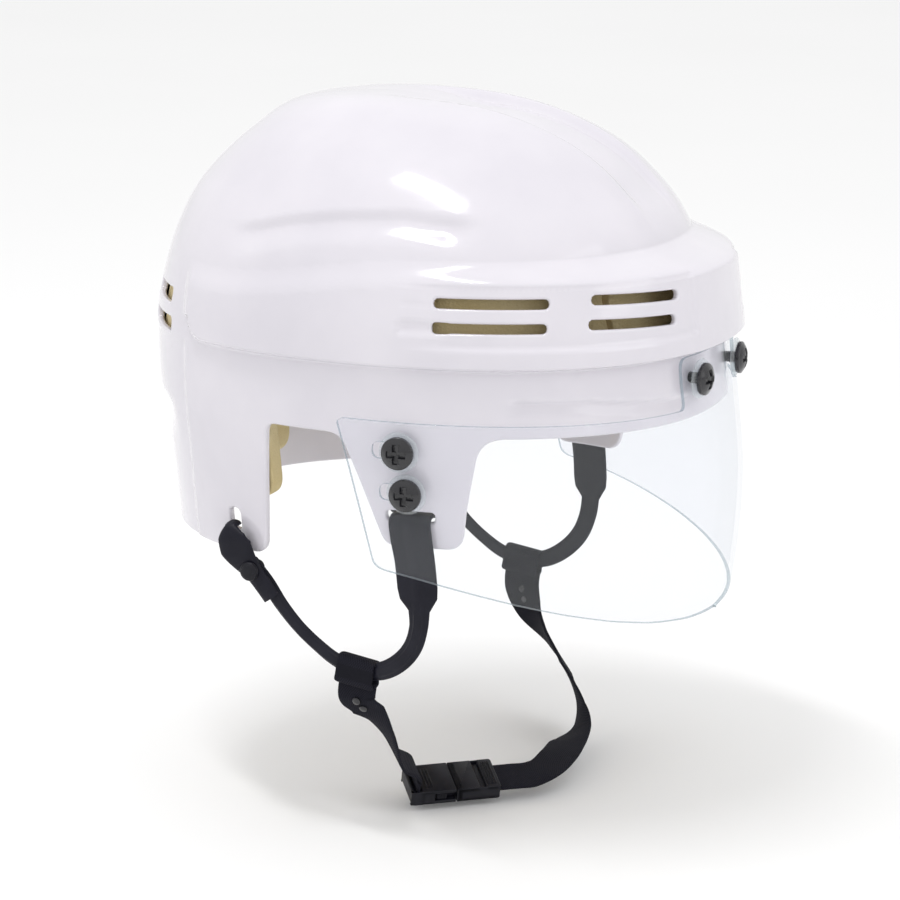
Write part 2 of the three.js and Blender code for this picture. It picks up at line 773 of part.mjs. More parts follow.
function bucklePlug() {
  const { half, width, thick } = BUCKLE_SIZE;
  const body = buckleOutline(0, half - GAP, width, thick, 0.6).translate(GAP, 0, 0);
  const tongue = block(-PRONG.reach + 1, 1.5, 6, 3);
  const channel = block(3.4, half + 2, WEB.width + 2 * CHANNEL_CLEAR, WEB.thick + 2 * CHANNEL_CLEAR);
  const bar = block(11, 14, WEB.width + 2 * CHANNEL_CLEAR, 2.6);
  bar.translate(0, 0, BUCKLE_SIZE.thick / 2);
  return placedOnBuckle(cut(join([body, tongue]), [channel, bar]));
}

// One sprung arm of the plug, with the thumb pad that shows in the socket's open side. w is 1 or -1.
function releaseProng(w) {
  const outline = roundedShape([
    [-PRONG.reach, w * 5.2, 0.4],
    [-0.1, w * 5.2, 0],
    [-0.1, w * 7.6, 0],
    [-4.2, w * 7.6, 0.4],
    [-4.2, w * 9.6, 0.6],
    [-9, w * 9.6, 0.6],
    [-9.2, w * 7.8, 0],
    [-PRONG.reach, w * 6.6, 0.4],
  ]);
  const options = { depth: PRONG.height, bevelEnabled: false, curveSegments: 3 };
  const arm = new THREE.ExtrudeGeometry(outline, options);
  return placedOnBuckle(closed(arm.translate(0, 0, -PRONG.height / 2)));
}

const asList = (v) => [v.x, v.y, v.z];
const BUCKLE_WAY = asList(AXES.across);

const RIGHT_WEB_STATIONS = [
  { at: [-2.4, -92.2, -146.6], across: X_WAY, width: WEB.width },
  { at: [-2.8, -92.1, -149.6], across: X_WAY, width: WEB.width },
  { at: [0.6, -88, -155.5], across: [0.98, 0.1, 0], width: WEB.width - 1 },
  { at: [3.2, -82, -163.5], across: [0.9, -0.4, -0.1], width: WEB.width - 1.4 },
  { at: [4, -74, -173.5], across: [0.75, -0.65, -0.2], width: WEB.width - 1.4 },
  { at: [3.9, -64.5, -185], across: BUCKLE_WAY, width: WEB.width - 1 },
  { at: asList(bucklePoint(-17.1, 0, 9)), across: BUCKLE_WAY, width: WEB.width - 0.6 },
  { at: asList(bucklePoint(-17.1, 0, 4)), across: BUCKLE_WAY, width: WEB.width },
  { at: asList(bucklePoint(-17.1, 0, -3)), across: BUCKLE_WAY, width: WEB.width },
];

const LEFT_WEB_STATIONS = [
  { at: asList(bucklePoint(17.6, 0, 0)), across: BUCKLE_WAY, width: WEB.width },
  { at: asList(bucklePoint(24, 0, 0)), across: BUCKLE_WAY, width: WEB.width },
  { at: asList(bucklePoint(30, 0, 0)), across: BUCKLE_WAY, width: WEB.width },
  { at: asList(bucklePoint(36, 0, 0)), across: BUCKLE_WAY, width: WEB.width },
  { at: [50.3, -7, -202], across: [0.8, -0.55, -0.15], width: WEB.width },
  { at: [51.6, 6, -200], across: [1, 0, -0.05], width: WEB.width },
  { at: [49.6, 22, -199.4], across: [1, 0.1, 0.1], width: WEB.width },
  { at: [46.6, 38, -200], across: [0.85, 0.15, 0.45], width: WEB.width },
  { at: [42.4, 54, -198.4], across: [0.35, -0.15, 0.9], width: WEB.width },
  { at: [36, 67.5, -192.8], across: [0.03, -0.48, 0.87], width: WEB.width },
  { at: [26, 78, -183.5], across: [0.05, -0.8, 0.55], width: WEB.width },
  { at: [13, 85.5, -171.6], across: [0.45, -0.8, 0.3], width: WEB.width },
  { at: [2.6, 89.4, -160.6], across: [0.85, -0.4, 0.2], width: WEB.width },
  { at: [-2.8, 92.1, -149.6], across: X_WAY, width: WEB.width },
  { at: [-2.4, 92.2, -146.6], across: X_WAY, width: WEB.width },
];

// The two rivets that close the folded webbing under each sleeve, as fractions of the strap's length.
const RIVET = { shank: 0.9, head: 1.9, hole: 1.2, tail: 1.6, clear: 0.65 };
const RIGHT_RIVETS = { upper: 0.13, lower: 0.205 };
const LEFT_RIVETS = { upper: 0.918, lower: 0.888 };

// Where a rivet stands on its strap, and the way its head faces: away from the wearer's neck.
function rivetPlace(stations, t) {
  const { place, out } = strapFrame(stations, strapCurve(stations), t);
  const side = Math.sign(place.y);
  return { at: place, way: out.y * side > 0 ? out : out.negate() };
}

function rivet({ at, way }) {
  const under = WEB.thick / 2 + RIVET.clear;
  const solid = lathe(
    [
      [0, -under - 0.7],
      [RIVET.tail, -under - 0.7],
      [RIVET.tail, -under],
      [RIVET.shank, -under],
      [RIVET.shank, under],
      [RIVET.head, under],
      [RIVET.head * 0.75, under + 0.9],
      [0, under + 1.2],
    ],
    10,
  );
  return aimed(solid, at, way);
}

function webbing(stations, steps, rivets) {
  const drills = Object.values(rivets).map((t) => {
    const drill = new THREE.CylinderGeometry(RIVET.hole, RIVET.hole, 6, 8).rotateX(Math.PI / 2);
    const { at, way } = rivetPlace(stations, t);
    return aimed(drill, at, way);
  });
  return cut(strap(stations, WEB.thick, steps), drills);
}

// ---------------------------------------------------------------- assembly

const WHITE = material('shell', 0.18);
const FOAM = material('foam', 0.95);
const RUBBER = material('rubber', 0.55);
const HARDWARE = material('hardware', 0.3);
const CLEAR = material('clear', 0.08);
const VISOR = material('visor', 0.04);
const NUT_METAL = material('nut', 0.35, 1);
const WEBBING = material('webbing', 0.85);

const helmet = new THREE.Group();

function add(name, geometry, look) {
  const mesh = new THREE.Mesh(closed(geometry), look);
  mesh.name = name;
  helmet.add(mesh);
}

function addPair(name, geometry, look) {
  add(`${name}_right`, geometry, look);
  add(`${name}_left`, mirrored(geometry), look);
}

add('shell', shell(), WHITE);
add('visor', visor(), VISOR);

add('forehead_pad', foreheadPad(), FOAM);
add('crown_pad', crownPad(), FOAM);
add('nape_pad', pad(152, 208, -82, -8, 9, 6), FOAM);
add('occipital_pad', pad(150, 210, 24, 58, 9, 6), FOAM);
addPair('temple_pad', pad(-84, -36, -2, 40, 8, 6), FOAM);
addPair('rear_side_pad', pad(-140, -105, -66, 34, 8.4, 6), FOAM);

for (const { name, at, way } of SCREWS) {
  const nutDepth = VISOR_THICK + WALL + (NUT_STANDOFF[name.split('_').at(-1)] ?? NUT_STANDOFF.front);
  add(`visor_screw_${name}`, aimed(screwSolid(), at, way), HARDWARE);
  add(`visor_washer_${name}`, aimed(washerSolid(), at, way), CLEAR);
  add(`visor_nut_${name}`, aimed(nutSolid(nutDepth), at, way), NUT_METAL);
}

addPair('ear_loop', earLoop(), RUBBER);
addPair('rear_tongue', rearTongue(), RUBBER);
addPair('loop_button', loopButton(), HARDWARE);
addPair('strap_sleeve', strapSleeve(), WEBBING);

add('chin_webbing_right', webbing(RIGHT_WEB_STATIONS, 24, RIGHT_RIVETS), WEBBING);
add('chin_webbing_left', webbing(LEFT_WEB_STATIONS, 56, LEFT_RIVETS), WEBBING);
for (const [level, t] of Object.entries(RIGHT_RIVETS)) {
  add(`strap_rivet_right_${level}`, rivet(rivetPlace(RIGHT_WEB_STATIONS, t)), HARDWARE);
}
for (const [level, t] of Object.entries(LEFT_RIVETS)) {
  add(`strap_rivet_left_${level}`, rivet(rivetPlace(LEFT_WEB_STATIONS, t)), HARDWARE);
}
add('buckle_socket', buckleSocket(), HARDWARE);
add('buckle_plug', bucklePlug(), HARDWARE);
add('release_prong_front', releaseProng(-1), HARDWARE);
add('release_prong_rear', releaseProng(1), HARDWARE);

export default helmet;
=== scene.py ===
"""The looks of an ice-hockey helmet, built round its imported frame.

All of the shape functions work in millimetres, in the frame's own axes: +X is the wearer's front, +Y the
wearer's left and +Z up. A mesh is scaled to metres when it is made. Most of the helmet is the same on both
sides, so a shape is worked out for the wearer's right side (negative Y) and mirrored.
"""
import math

import bmesh
import bpy
import numpy as np
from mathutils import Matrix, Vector
from mathutils.geometry import delaunay_2d_cdt


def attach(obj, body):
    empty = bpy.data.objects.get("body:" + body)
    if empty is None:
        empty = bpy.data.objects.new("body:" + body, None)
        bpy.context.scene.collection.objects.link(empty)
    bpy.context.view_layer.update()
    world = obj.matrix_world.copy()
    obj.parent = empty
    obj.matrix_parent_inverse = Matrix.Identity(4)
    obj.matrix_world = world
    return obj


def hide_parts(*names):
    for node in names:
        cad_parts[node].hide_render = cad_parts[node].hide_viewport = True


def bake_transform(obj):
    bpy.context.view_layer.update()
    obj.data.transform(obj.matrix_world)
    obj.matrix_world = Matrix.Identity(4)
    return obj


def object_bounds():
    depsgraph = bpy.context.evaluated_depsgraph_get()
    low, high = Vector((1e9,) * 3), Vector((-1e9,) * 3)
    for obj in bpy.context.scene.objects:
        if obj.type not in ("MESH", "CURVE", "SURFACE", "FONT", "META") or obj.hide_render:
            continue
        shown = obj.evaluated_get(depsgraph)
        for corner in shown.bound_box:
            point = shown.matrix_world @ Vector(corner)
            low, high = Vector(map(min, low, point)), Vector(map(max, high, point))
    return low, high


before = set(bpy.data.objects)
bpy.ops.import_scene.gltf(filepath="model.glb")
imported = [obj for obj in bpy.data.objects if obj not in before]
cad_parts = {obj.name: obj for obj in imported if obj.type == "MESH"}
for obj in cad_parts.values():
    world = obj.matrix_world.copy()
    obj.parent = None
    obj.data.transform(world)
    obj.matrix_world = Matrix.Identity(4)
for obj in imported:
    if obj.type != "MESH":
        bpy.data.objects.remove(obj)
cad_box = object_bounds()

MM = 0.001
WALL = 3.0
GAP = 0.3

# The smooth shell, crown to rim: height, reach to the front, reach to the back, half width, widest x.
SHELL_ROWS = np.array(
    [
        [101.5, -10, 10, 0, -10],
        [98, 35, 66, 31, -4],
        [84, 71, 90, 61, -4],
        [64, 94, 111, 83, -4],
        [44, 107, 122, 95.5, -6],
        [20, 115, 129.5, 102.5, -6],
        [0, 122, 133, 104, -6],
        [-26, 125, 132.5, 104.5, -6],
        [-50, 125.5, 128, 103, -6],
        [-76, 124.5, 126, 99.5, -6],
        [-98, 124, 125, 96, -6],
    ],
    float,
)
SECTION_POWER = 2.2
VISOR_ROWS = np.array(
    [
        [4, 125.8, 0, 108.6, -6],
        [-10, 127.0, 0, 108, -6],
        [-28, 129.2, 0, 107.5, -6],
        [-60, 132.4, 0, 107.3, -6],
        [-90, 131.4, 0, 106.3, -6],
        [-122, 127.5, 0, 102.4, -6],
    ],
    float,
)
VISOR_THICK = 2.2
# Millimetres along the visor, and along the foam, for one radian round it.
VISOR_SPREAD = 115.0
PAD_SPREAD = 105.0

BRIM_Z = -27.5
EAR_TOP_Z = -28.5
FRONT_FLAP_Z = -77.0
REAR_RIM_Z = -91.0


# ---- number helpers


def smooth(start, end, v):
    """0 before start, 1 after end, eased between them."""
    t = np.clip((v - start) / (end - start), 0, 1)
    return t * t * (3 - 2 * t)


def ramp(start, end, v, ease=0.5):
    """Like smooth, but nearer to a straight ramp, so that its two ends show as soft creases."""
    t = np.clip((v - start) / (end - start), 0, 1)
    return t - ease * np.sin(2 * np.pi * t) / (2 * np.pi)


def unit(v):
    length = np.linalg.norm(v, axis=-1, keepdims=True)
    return v / np.maximum(length, 1e-9)


def row_values(rows, t, crown):
    """Every column of a table of rows at row number t, by Catmull-Rom."""
    last = len(rows) - 1
    t = np.clip(t, 0, last)
    i = np.clip(np.floor(t).astype(int), 0, last - 1)
    f = (t - i)[:, None]
    before = rows[1] * [1, -1, -1, -1, 1] if crown else 2 * rows[0] - rows[1]
    padded = np.vstack([before, rows, 2 * rows[-1] - rows[-2]])
    p0, p1, p2, p3 = (padded[i + k] for k in range(4))
    square = 2 * p0 - 5 * p1 + 4 * p2 - p3
    cube = 3 * p1 - p0 - 3 * p2 + p3
    return 0.5 * (2 * p1 + (p2 - p0) * f + square * f**2 + cube * f**3)


def row_of_height(rows, z, crown):
    z = np.atleast_1d(np.asarray(z, float))
    low = np.zeros_like(z)
    high = np.full_like(z, len(rows) - 1)
    for _ in range(30):
        mid = (low + high) / 2
        above = row_values(rows, mid, crown)[:, 0] > z
        low = np.where(above, mid, low)
        high = np.where(above, high, mid)
    return (low + high) / 2


def ring_points(row, angle):
    """Points on the rows' rounded sections. The angle is 0 at the front and -90 degrees at the right."""
    c, s = np.cos(angle), np.sin(angle)
    power = 2 / SECTION_POWER
    cp = np.sign(c) * np.abs(c) ** power
    sp = np.sign(s) * np.abs(s) ** power
    z, front, back, half, wide = row.T
    x = np.where(c >= 0, wide + (front - wide) * cp, wide + (back + wide) * cp)
    return np.stack([x, half * sp, z], 1)


def angle_at_x(rows, x, z, crown=False):
    """The angle on the right side at which a table's ring at height z passes x."""
    x, z = np.broadcast_arrays(np.atleast_1d(np.asarray(x, float)), np.atleast_1d(np.asarray(z, float)))
    row = row_values(rows, row_of_height(rows, z, crown), crown)
    low = np.zeros(len(x))
    high = np.full(len(x), np.pi)
    for _ in range(30):
        mid = (low + high) / 2
        ahead = ring_points(row, mid)[:, 0] > x
        low = np.where(ahead, mid, low)
        high = np.where(ahead, high, mid)
    return -(low + high) / 2


# ---- the shell's surface

BAND = {"low": 0.6, "lip": 3.2, "rear": -91.0, "rear_full": -86.0, "corner": 9.0}
BAND_TOP = {"rear_z": 24.0, "front_z": 35.4, "rear_x": -75.0, "front_x": 30.0, "slope": 10.0}
BAND_REACH = {"side": 3.5, "front": 131.8, "lean": 0.11}
CHANNEL = {
    "depth": 4.0, "flat": 12.5, "half": 20.0,
    "rear": -30.0, "deep": 15.0, "fade": 86.0, "front": 106.0,
    "low": 43, "high": 53,
}


def band_mask(x, z):
    """1 on the raised band round the brow and sides, 0 off it."""
    into = np.clip((BAND["rear_full"] + BAND["corner"] - x) / BAND["corner"], 0, 1)
    lift = BAND["corner"] * (1 - np.sqrt(1 - into**2))
    low = ramp(BAND["low"] + lift, BAND["lip"] + lift, z)
    forward = smooth(BAND_TOP["rear_x"], BAND_TOP["front_x"], x)
    full = BAND_TOP["rear_z"] + (BAND_TOP["front_z"] - BAND_TOP["rear_z"]) * forward
    high = 1 - ramp(full, full + BAND_TOP["slope"], z)
    return low * high * ramp(BAND["rear"], BAND["rear_full"], x)


def shell_base(p):
    """The shell's outer surface with its band and its crown channel, at row number and angle."""
    row = row_values(SHELL_ROWS, p[:, 0], True)
    base = ring_points(row, p[:, 1])
    z = row[:, 0]
    raised = row.copy()
    raised[:, 1] = BAND_REACH["front"] - BAND_REACH["lean"] * np.maximum(0, z - BAND["lip"])
    raised[:, 3] += BAND_REACH["side"]
    mask = band_mask(base[:, 0], z)[:, None]
    point = base + (ring_points(raised, p[:, 1]) - base) * mask
    across = 1 - ramp(CHANNEL["flat"], CHANNEL["half"], np.abs(point[:, 1]))
    along = smooth(CHANNEL["rear"], CHANNEL["deep"], point[:, 0])
    along = along * (1 - smooth(CHANNEL["fade"], CHANNEL["front"], point[:, 0]))
    point[:, 2] -= CHANNEL["depth"] * across * along * smooth(CHANNEL["low"], CHANNEL["high"], z)
    return point


def ledge(x, z, line, depth, above, below, reach):
    """A groove along a line of (x, z) points: a steep upper wall and a floor that rises slowly."""
    line = np.array(line, float)
    dz = z - np.interp(x, line[:, 0], line[:, 1])
    ends = smooth(line[0, 0] - reach[0], line[0, 0] + reach[0], x)
    ends = ends * (1 - smooth(line[-1, 0] - reach[1], line[-1, 0] + reach[1], x))
    return -depth * (1 - smooth(-above, above, dz)) * smooth(-below, -above, dz) * ends


def flute(point, start, end, radius, depth):
    """A round-bottomed groove along the straight line between two points."""
    a, b = np.array(start, float), np.array(end, float)
    f = np.clip(((point - a) @ (b - a)) / ((b - a) @ (b - a)), 0, 1)
    away = np.linalg.norm(point - a - f[:, None] * (b - a), axis=1)
    return -depth * (1 - smooth(0, radius, away))


VENT_LEVELS = (29.8, 19.7)
SIDE_LEDGE = [(-60, 51.5), (-36, 57.5), (-12, 61), (17, 63), (44, 60)]
RIB_LEDGE = [(68, -11.5), (95, -12.5), (112, -15.5), (126, -18)]
PANEL = {"rear": 80.0, "rear_full": 62.0, "front": 12.2, "front_full": 14.0, "depth": 1.5}
LOBE = {"height": 2.0, "x": -35.0, "y": 32.0, "reach_x": 44.0, "reach_y": 19.0}
VENT_FLUTE = {"start": (25, 105.6), "end": (42, 103.4), "fall": 0.2, "radius": 4.4, "depth": 1.7}
REAR_STEP = {"depth": 0.8, "x": (-90.5, -88), "z": (-3, 1)}
REAR_HOLLOW = {"depth": 2.7, "top": (-36, -28), "bottom": (-54, -38), "x": (-116, -98)}


def shell_detail(point):
    """How far the surface stands out from, or sinks below, the plain moulding."""
    x, y, z = point[:, 0], np.abs(point[:, 1]), point[:, 2]
    out = ledge(x, z, SIDE_LEDGE, 2.3, 2.4, 13.0, (12, 9))
    out += ledge(x, z, RIB_LEDGE, 1.5, 1.1, 6.5, (4, 6)) * (1 - smooth(118, 124, x))
    turn = np.degrees(np.arctan2(y, x))
    panel = 1 - smooth(PANEL["rear_full"], PANEL["rear"], turn)
    panel = panel * smooth(PANEL["front"], PANEL["front_full"], turn)
    out -= PANEL["depth"] * panel * (1 - smooth(35.6, 37.6, z)) * smooth(9.6, 12.4, z)
    mirrored = np.stack([x, y, z], 1)
    for level in VENT_LEVELS:
        start, end = (*VENT_FLUTE["start"], level - VENT_FLUTE["fall"]), (*VENT_FLUTE["end"], level)
        out += flute(mirrored, start, end, VENT_FLUTE["radius"], VENT_FLUTE["depth"])
    out -= REAR_STEP["depth"] * (1 - smooth(*REAR_STEP["x"], x)) * (1 - smooth(*REAR_STEP["z"], z))
    h = REAR_HOLLOW
    out -= h["depth"] * (1 - smooth(*h["top"], z)) * smooth(*h["bottom"], z) * (1 - smooth(*h["x"], x))
    lobe = np.exp(-(((x - LOBE["x"]) / LOBE["reach_x"]) ** 2) - ((y - LOBE["y"]) / LOBE["reach_y"]) ** 2)
    return out + LOBE["height"] * lobe * smooth(60, 85, z)


SHELL_STEP = (0.012, 0.004)
VISOR_STEP = (0.004, 0.2)


def tangents(place, p, step):
    a = place(p + [step[0], 0]) - place(p - [step[0], 0])
    b = place(p + [0, step[1]]) - place(p - [0, step[1]])
    return a / (2 * step[0]), b / (2 * step[1])


def facing(place, p, step):
    """The way a surface faces at its parameters."""
    a, b = tangents(place, p, step)
    return unit(np.cross(a, b))


def shell_place(p):
    """The shell's finished outer surface, at row number and angle."""
    safe = np.column_stack([np.maximum(p[:, 0], 0.03), p[:, 1]])
    base = shell_base(p)
    away = facing(shell_base, safe, SHELL_STEP)
    return base + away * shell_detail(base)[:, None]


def shell_flat(p):
    """Where a point goes on the flattened shell, which is spread out round the crown."""
    t = np.linspace(0, len(SHELL_ROWS) - 1, 400)
    row = row_values(SHELL_ROWS, t, True)
    step = np.hypot(np.diff(row[:, 0]), np.diff(row[:, 3]))
    reach = np.interp(p[:, 0], t, np.concatenate([[0], np.cumsum(step)]))
    return np.stack([reach * np.cos(p[:, 1]), reach * np.sin(p[:, 1])], 1)


def visor_place(p):
    """The visor's outer surface, at angle and height."""
    row = row_values(VISOR_ROWS, row_of_height(VISOR_ROWS, p[:, 1], False), False)
    return ring_points(row, p[:, 0])


def visor_flat(p):
    return np.stack([p[:, 0] * VISOR_SPREAD, p[:, 1]], 1)


# ---- moulded skins


def rounded(corners, step=0.8, closed=True):
    """A dense outline from (a, b, radius) corners, each corner cut by a quadratic curve."""
    points = []
    count = len(corners)
    for i, (a, b, radius) in enumerate(corners):
        here = np.array([a, b], float)
        if radius == 0 or (not closed and i in (0, count - 1)):
            points.append(here)
            continue
        before = np.array(corners[(i - 1) % count][:2], float)
        after = np.array(corners[(i + 1) % count][:2], float)
        start = here + unit(before - here) * radius
        end = here + unit(after - here) * radius
        for f in np.linspace(0, 1, max(4, int(radius * 2 / step))):
            points.append(start * (1 - f) ** 2 + 2 * here * f * (1 - f) + end * f**2)
    if closed:
        points.append(points[0])
    return np.array(points)


def evenly(params, place, spacing, closed):
    """A line of surface parameters, set out again at an even spacing along the surface."""
    counts = np.maximum(2, (np.linalg.norm(np.diff(place(params), axis=0), axis=1) / 0.4).astype(int))
    pieces = [a + (b - a) * (np.arange(n) / n)[:, None] for a, b, n in zip(params[:-1], params[1:], counts)]
    dense = np.vstack(pieces + [params[-1:]])
    length = np.concatenate([[0], np.cumsum(np.linalg.norm(np.diff(place(dense), axis=0), axis=1))])
    count = max(8, int(round(length[-1] / spacing)))
    at = np.linspace(0, length[-1], count + 1)
    line = np.stack([np.interp(at, length, dense[:, k]) for k in range(2)], 1)
    return line[:-1] if closed else line


def inside(points, polygon):
    """Which points are inside a closed polygon."""
    x, y = points.T
    result = np.zeros(len(points), bool)
    ax, ay = polygon.T
    bx, by = np.roll(polygon, -1, axis=0).T
    for x0, y0, x1, y1 in zip(ax, ay, bx, by):
        if y0 == y1:
            continue
        crosses = (y0 > y) != (y1 > y)
        result ^= crosses & (x < (x1 - x0) * (y - y0) / (y1 - y0) + x0)
    return result


EDGE_TURNS = np.radians([90, 67.5, 45, 22.5, 0])


def edge_rows(line, surface, closed, want_inside, radius):
    """Rows of parameters beside an edge, from on it to one radius off it, and the way off the edge."""
    place, flat, step, seam = surface["place"], surface["flat"], surface["step"], surface.get("seam")
    where = place(line)
    along = np.roll(where, -1, 0) - np.roll(where, 1, 0) if closed else np.gradient(where, axis=0)
    away = np.cross(facing(place, line, step), along)
    if not closed:
        away[[0, -1], 1] = 0
    away = unit(away)
    a, b = tangents(place, line, step)
    aa, ab, bb = (a * a).sum(1), (a * b).sum(1), (b * b).sum(1)
    det = aa * bb - ab**2

    def moved(vector):
        ra, rb = (a * vector).sum(1), (b * vector).sum(1)
        return line + np.stack([bb * ra - ab * rb, aa * rb - ab * ra], 1) / det[:, None]

    votes = inside(flat(moved(away * 0.4)), flat(line))
    if (votes.mean() > 0.5) != want_inside:
        away = -away
    rows = [moved(away * radius * (1 - math.sin(t))) for t in EDGE_TURNS]
    if not closed:
        for row in rows:
            row[[0, -1], seam] = line[[0, -1], seam]
    return rows, away


def rounding(near, radius):
    """How far an edge of a radius has fallen at a distance from it, and how far its face has turned."""
    lean = np.clip(1 - near / radius, 0, 1)
    return radius * (1 - np.sqrt(1 - lean**2)), lean


def on_seam(params, surface):
    value = params[:, surface["seam"]]
    return (np.abs(value) < 1e-6) | (np.abs(value + np.pi) < 1e-6)


def kept_grid(grid, surface, rails, rail_ends, near, spacing):
    """The grid's points that lie within the rim, outside the holes and clear of every edge row."""
    place, flat = surface["place"], surface["flat"]
    planar = flat(grid)
    keep = inside(planar, rails[0])
    if "seam" in surface:
        axis = 0 if abs(rail_ends[0, 0] - rail_ends[1, 0]) > 1 else 1
        low, high = np.sort(rail_ends[:, axis])
        keep |= on_seam(grid, surface) & (planar[:, axis] > low) & (planar[:, axis] < high)
    for rail in rails[1:]:
        keep &= ~inside(planar, rail)
    grid = grid[keep]
    where = place(grid)
    clear = np.ones(len(grid), bool)
    chunk = 500
    for start in range(0, len(grid), chunk):
        gaps = ((where[start : start + chunk, None, :] - near[None, :, :]) ** 2).sum(2).min(1)
        clear[start : start + chunk] = gaps > (0.6 * spacing) ** 2
    return grid[clear]


def triangles(planar, edges, loops, on_edge):
    """Triangles between planar points that keep the given edges, inside the first loop and off the rest.

    A triangle with all of its corners on an edge can only be a sliver outside it.
    """
    made = delaunay_2d_cdt([Vector(c) for c in planar.tolist()], edges, [], 0, 1e-6, True)
    origin = [o[0] if o else -1 for o in made[3]]
    tris = np.array([[origin[i] for i in f] for f in made[2]])
    tris = tris[(tris >= 0).all(1) & ~on_edge[tris].all(1)]
    middle = planar[tris].mean(1)
    good = inside(middle, loops[0])
    for loop in loops[1:]:
        good &= ~inside(middle, loop)
    return tris[good]


def add_row(strips, surface, row, away, near, radii):
    """One row beside an edge: its shading, and how far the outer and the inner face have fallen there."""
    face = facing(surface["place"], row, surface["step"])
    strips["params"].append(row)
    for side, radius, way in (("", radii[0], face), ("inner_", radii[1], -face)):
        fall, lean = rounding(near, radius)
        strips[side + "normals"].append(unit(way * math.sqrt(1 - lean**2) - away * lean))
        strips[side + "falls"].append(np.full(len(row), fall))


def edge_strips(lines, surface, radii):
    """The rows of points beside every edge, the mesh edges along them, and each edge's loop and last row."""
    half, radius = "seam" in surface, max(radii)
    strips = {word: [] for word in ("params", "normals", "falls", "inner_normals", "inner_falls")}
    strips.update({word: [] for word in ("edges", "edge_ids", "loops", "rails")})
    offset = 0
    for k, line in enumerate(lines):
        closed = k > 0 or not half
        rows, away = edge_rows(line, surface, closed, k == 0, radius)
        strips["loops"].append(surface["flat"](rows[0]))
        strips["rails"].append(surface["flat"](rows[-1]))
        count = len(line)
        strips["edge_ids"] += range(offset, offset + count)
        last = count if closed else count - 1
        for turn, row in zip(EDGE_TURNS, rows):
            add_row(strips, surface, row, away, radius * (1 - math.sin(turn)), radii)
            strips["edges"] += [(offset + i, offset + (i + 1) % count) for i in range(last)]
            offset += count
    return strips


def sheet_triangles(planar, strips):
    """The triangles of one face of a sheet, from its flattened points."""
    planar[np.abs(planar) < 1e-6] = 0
    on_edge = np.zeros(len(planar), bool)
    on_edge[strips["edge_ids"]] = True
    return triangles(planar, strips["edges"], strips["loops"], on_edge)


def skin(name, surface, rim, holes, grid, wall, radii, spacing=1.3, edge_slot=0):
    """A closed moulded sheet: an outer face, an inner face a wall below it, and rounded edges between them.

    rim and holes are lines of surface parameters. A surface with a seam is a half: its rim is open, both of
    the rim's ends lie on the plane of symmetry, and the sheet is mirrored across that plane.
    """
    place, flat, step = surface["place"], surface["flat"], surface["step"]
    half = "seam" in surface
    lines = [evenly(rim, place, spacing, not half)] + [evenly(h, place, spacing, True) for h in holes]
    strips = edge_strips(lines, surface, radii)
    near_points = place(np.vstack(strips["params"]))
    rail_ends = flat(strips["params"][len(EDGE_TURNS) - 1][[0, -1]])
    grid = kept_grid(grid, surface, strips["rails"], rail_ends, near_points, spacing)
    face = facing(place, grid, step)
    params = np.vstack(strips["params"] + [grid])
    shading = np.vstack(strips["normals"] + [face] + strips["inner_normals"] + [-face])
    level = np.zeros(len(grid))
    falls = np.concatenate(strips["falls"] + [level])[:, None]
    inner_falls = np.concatenate(strips["inner_falls"] + [level])[:, None]
    tris = sheet_triangles(flat(params), strips)
    where = place(params)
    out = facing(place, params, step)
    outer = where - out * falls
    inner = where - out * (wall - inner_falls)
    side = np.cross(outer[tris[:, 1]] - outer[tris[:, 0]], outer[tris[:, 2]] - outer[tris[:, 0]])
    back = (side * out[tris[:, 0]]).sum(1) < 0
    tris[back] = tris[back][:, ::-1]
    points = np.vstack([outer, inner])
    walls = edge_walls(lines, half, points, len(params), shading)
    faces = tris.tolist() + (tris[:, ::-1] + len(params)).tolist() + walls
    if half:
        middle = np.abs(points[:, 1]) < 0.02
        points[middle, 1] = 0
        shading[middle, 1] = 0
        points, shading, faces = both_sides(points, shading, faces, middle)
    piece = make_mesh(name, points, faces, unit(shading))
    slots = np.zeros(len(faces), int)
    for end in (len(faces) // 2, len(faces)) if half else (len(faces),):
        slots[end - len(walls) : end] = edge_slot
    piece.data.polygons.foreach_set("material_index", slots)
    return piece


def edge_walls(lines, half, points, inner_start, normals):
    """The side faces that join the outer and the inner face along each edge."""
    walls = []
    offset = 0
    for k, line in enumerate(lines):
        ids = offset + np.arange(len(line))
        following = np.roll(ids, -1)
        if k == 0 and half:
            ids, following = ids[:-1], following[:-1]
        quads = np.stack([ids, following, following + inner_start, ids + inner_start], 1)
        a, b, _, d = points[quads[0]]
        if np.cross(b - a, d - a) @ normals[offset] < 0:
            quads = quads[:, ::-1]
        walls += quads.tolist()
        offset += len(line) * len(EDGE_TURNS)
    return walls


def both_sides(points, shading, faces, on):
    """A half sheet joined to its mirror image along the points that lie on the plane of symmetry."""
    count = len(points)
    other = np.where(on, np.arange(count), 0)
    off = np.flatnonzero(~on)
    other[off] = count + np.arange(len(off))
    flipped = points[off] * [1, -1, 1]
    flipped_shading = shading[off] * [1, -1, 1]
    mirrored = [[int(other[i]) for i in reversed(f)] for f in faces]
    return np.vstack([points, flipped]), np.vstack([shading, flipped_shading]), faces + mirrored


def make_mesh(name, points, faces, shading=None):
    """A mesh object from points in millimetres, with its own shading normals if they are given."""
    mesh = bpy.data.meshes.new(name)
    mesh.from_pydata((np.asarray(points) * MM).tolist(), [], [list(map(int, f)) for f in faces])
    mesh.update()
    mesh.shade_smooth()
    if shading is not None:
        mesh.normals_split_custom_set_from_vertices(np.asarray(shading).tolist())
    piece = bpy.data.objects.new(name, mesh)
    bpy.context.scene.collection.objects.link(piece)
    return piece


# ---- outlines on the surfaces

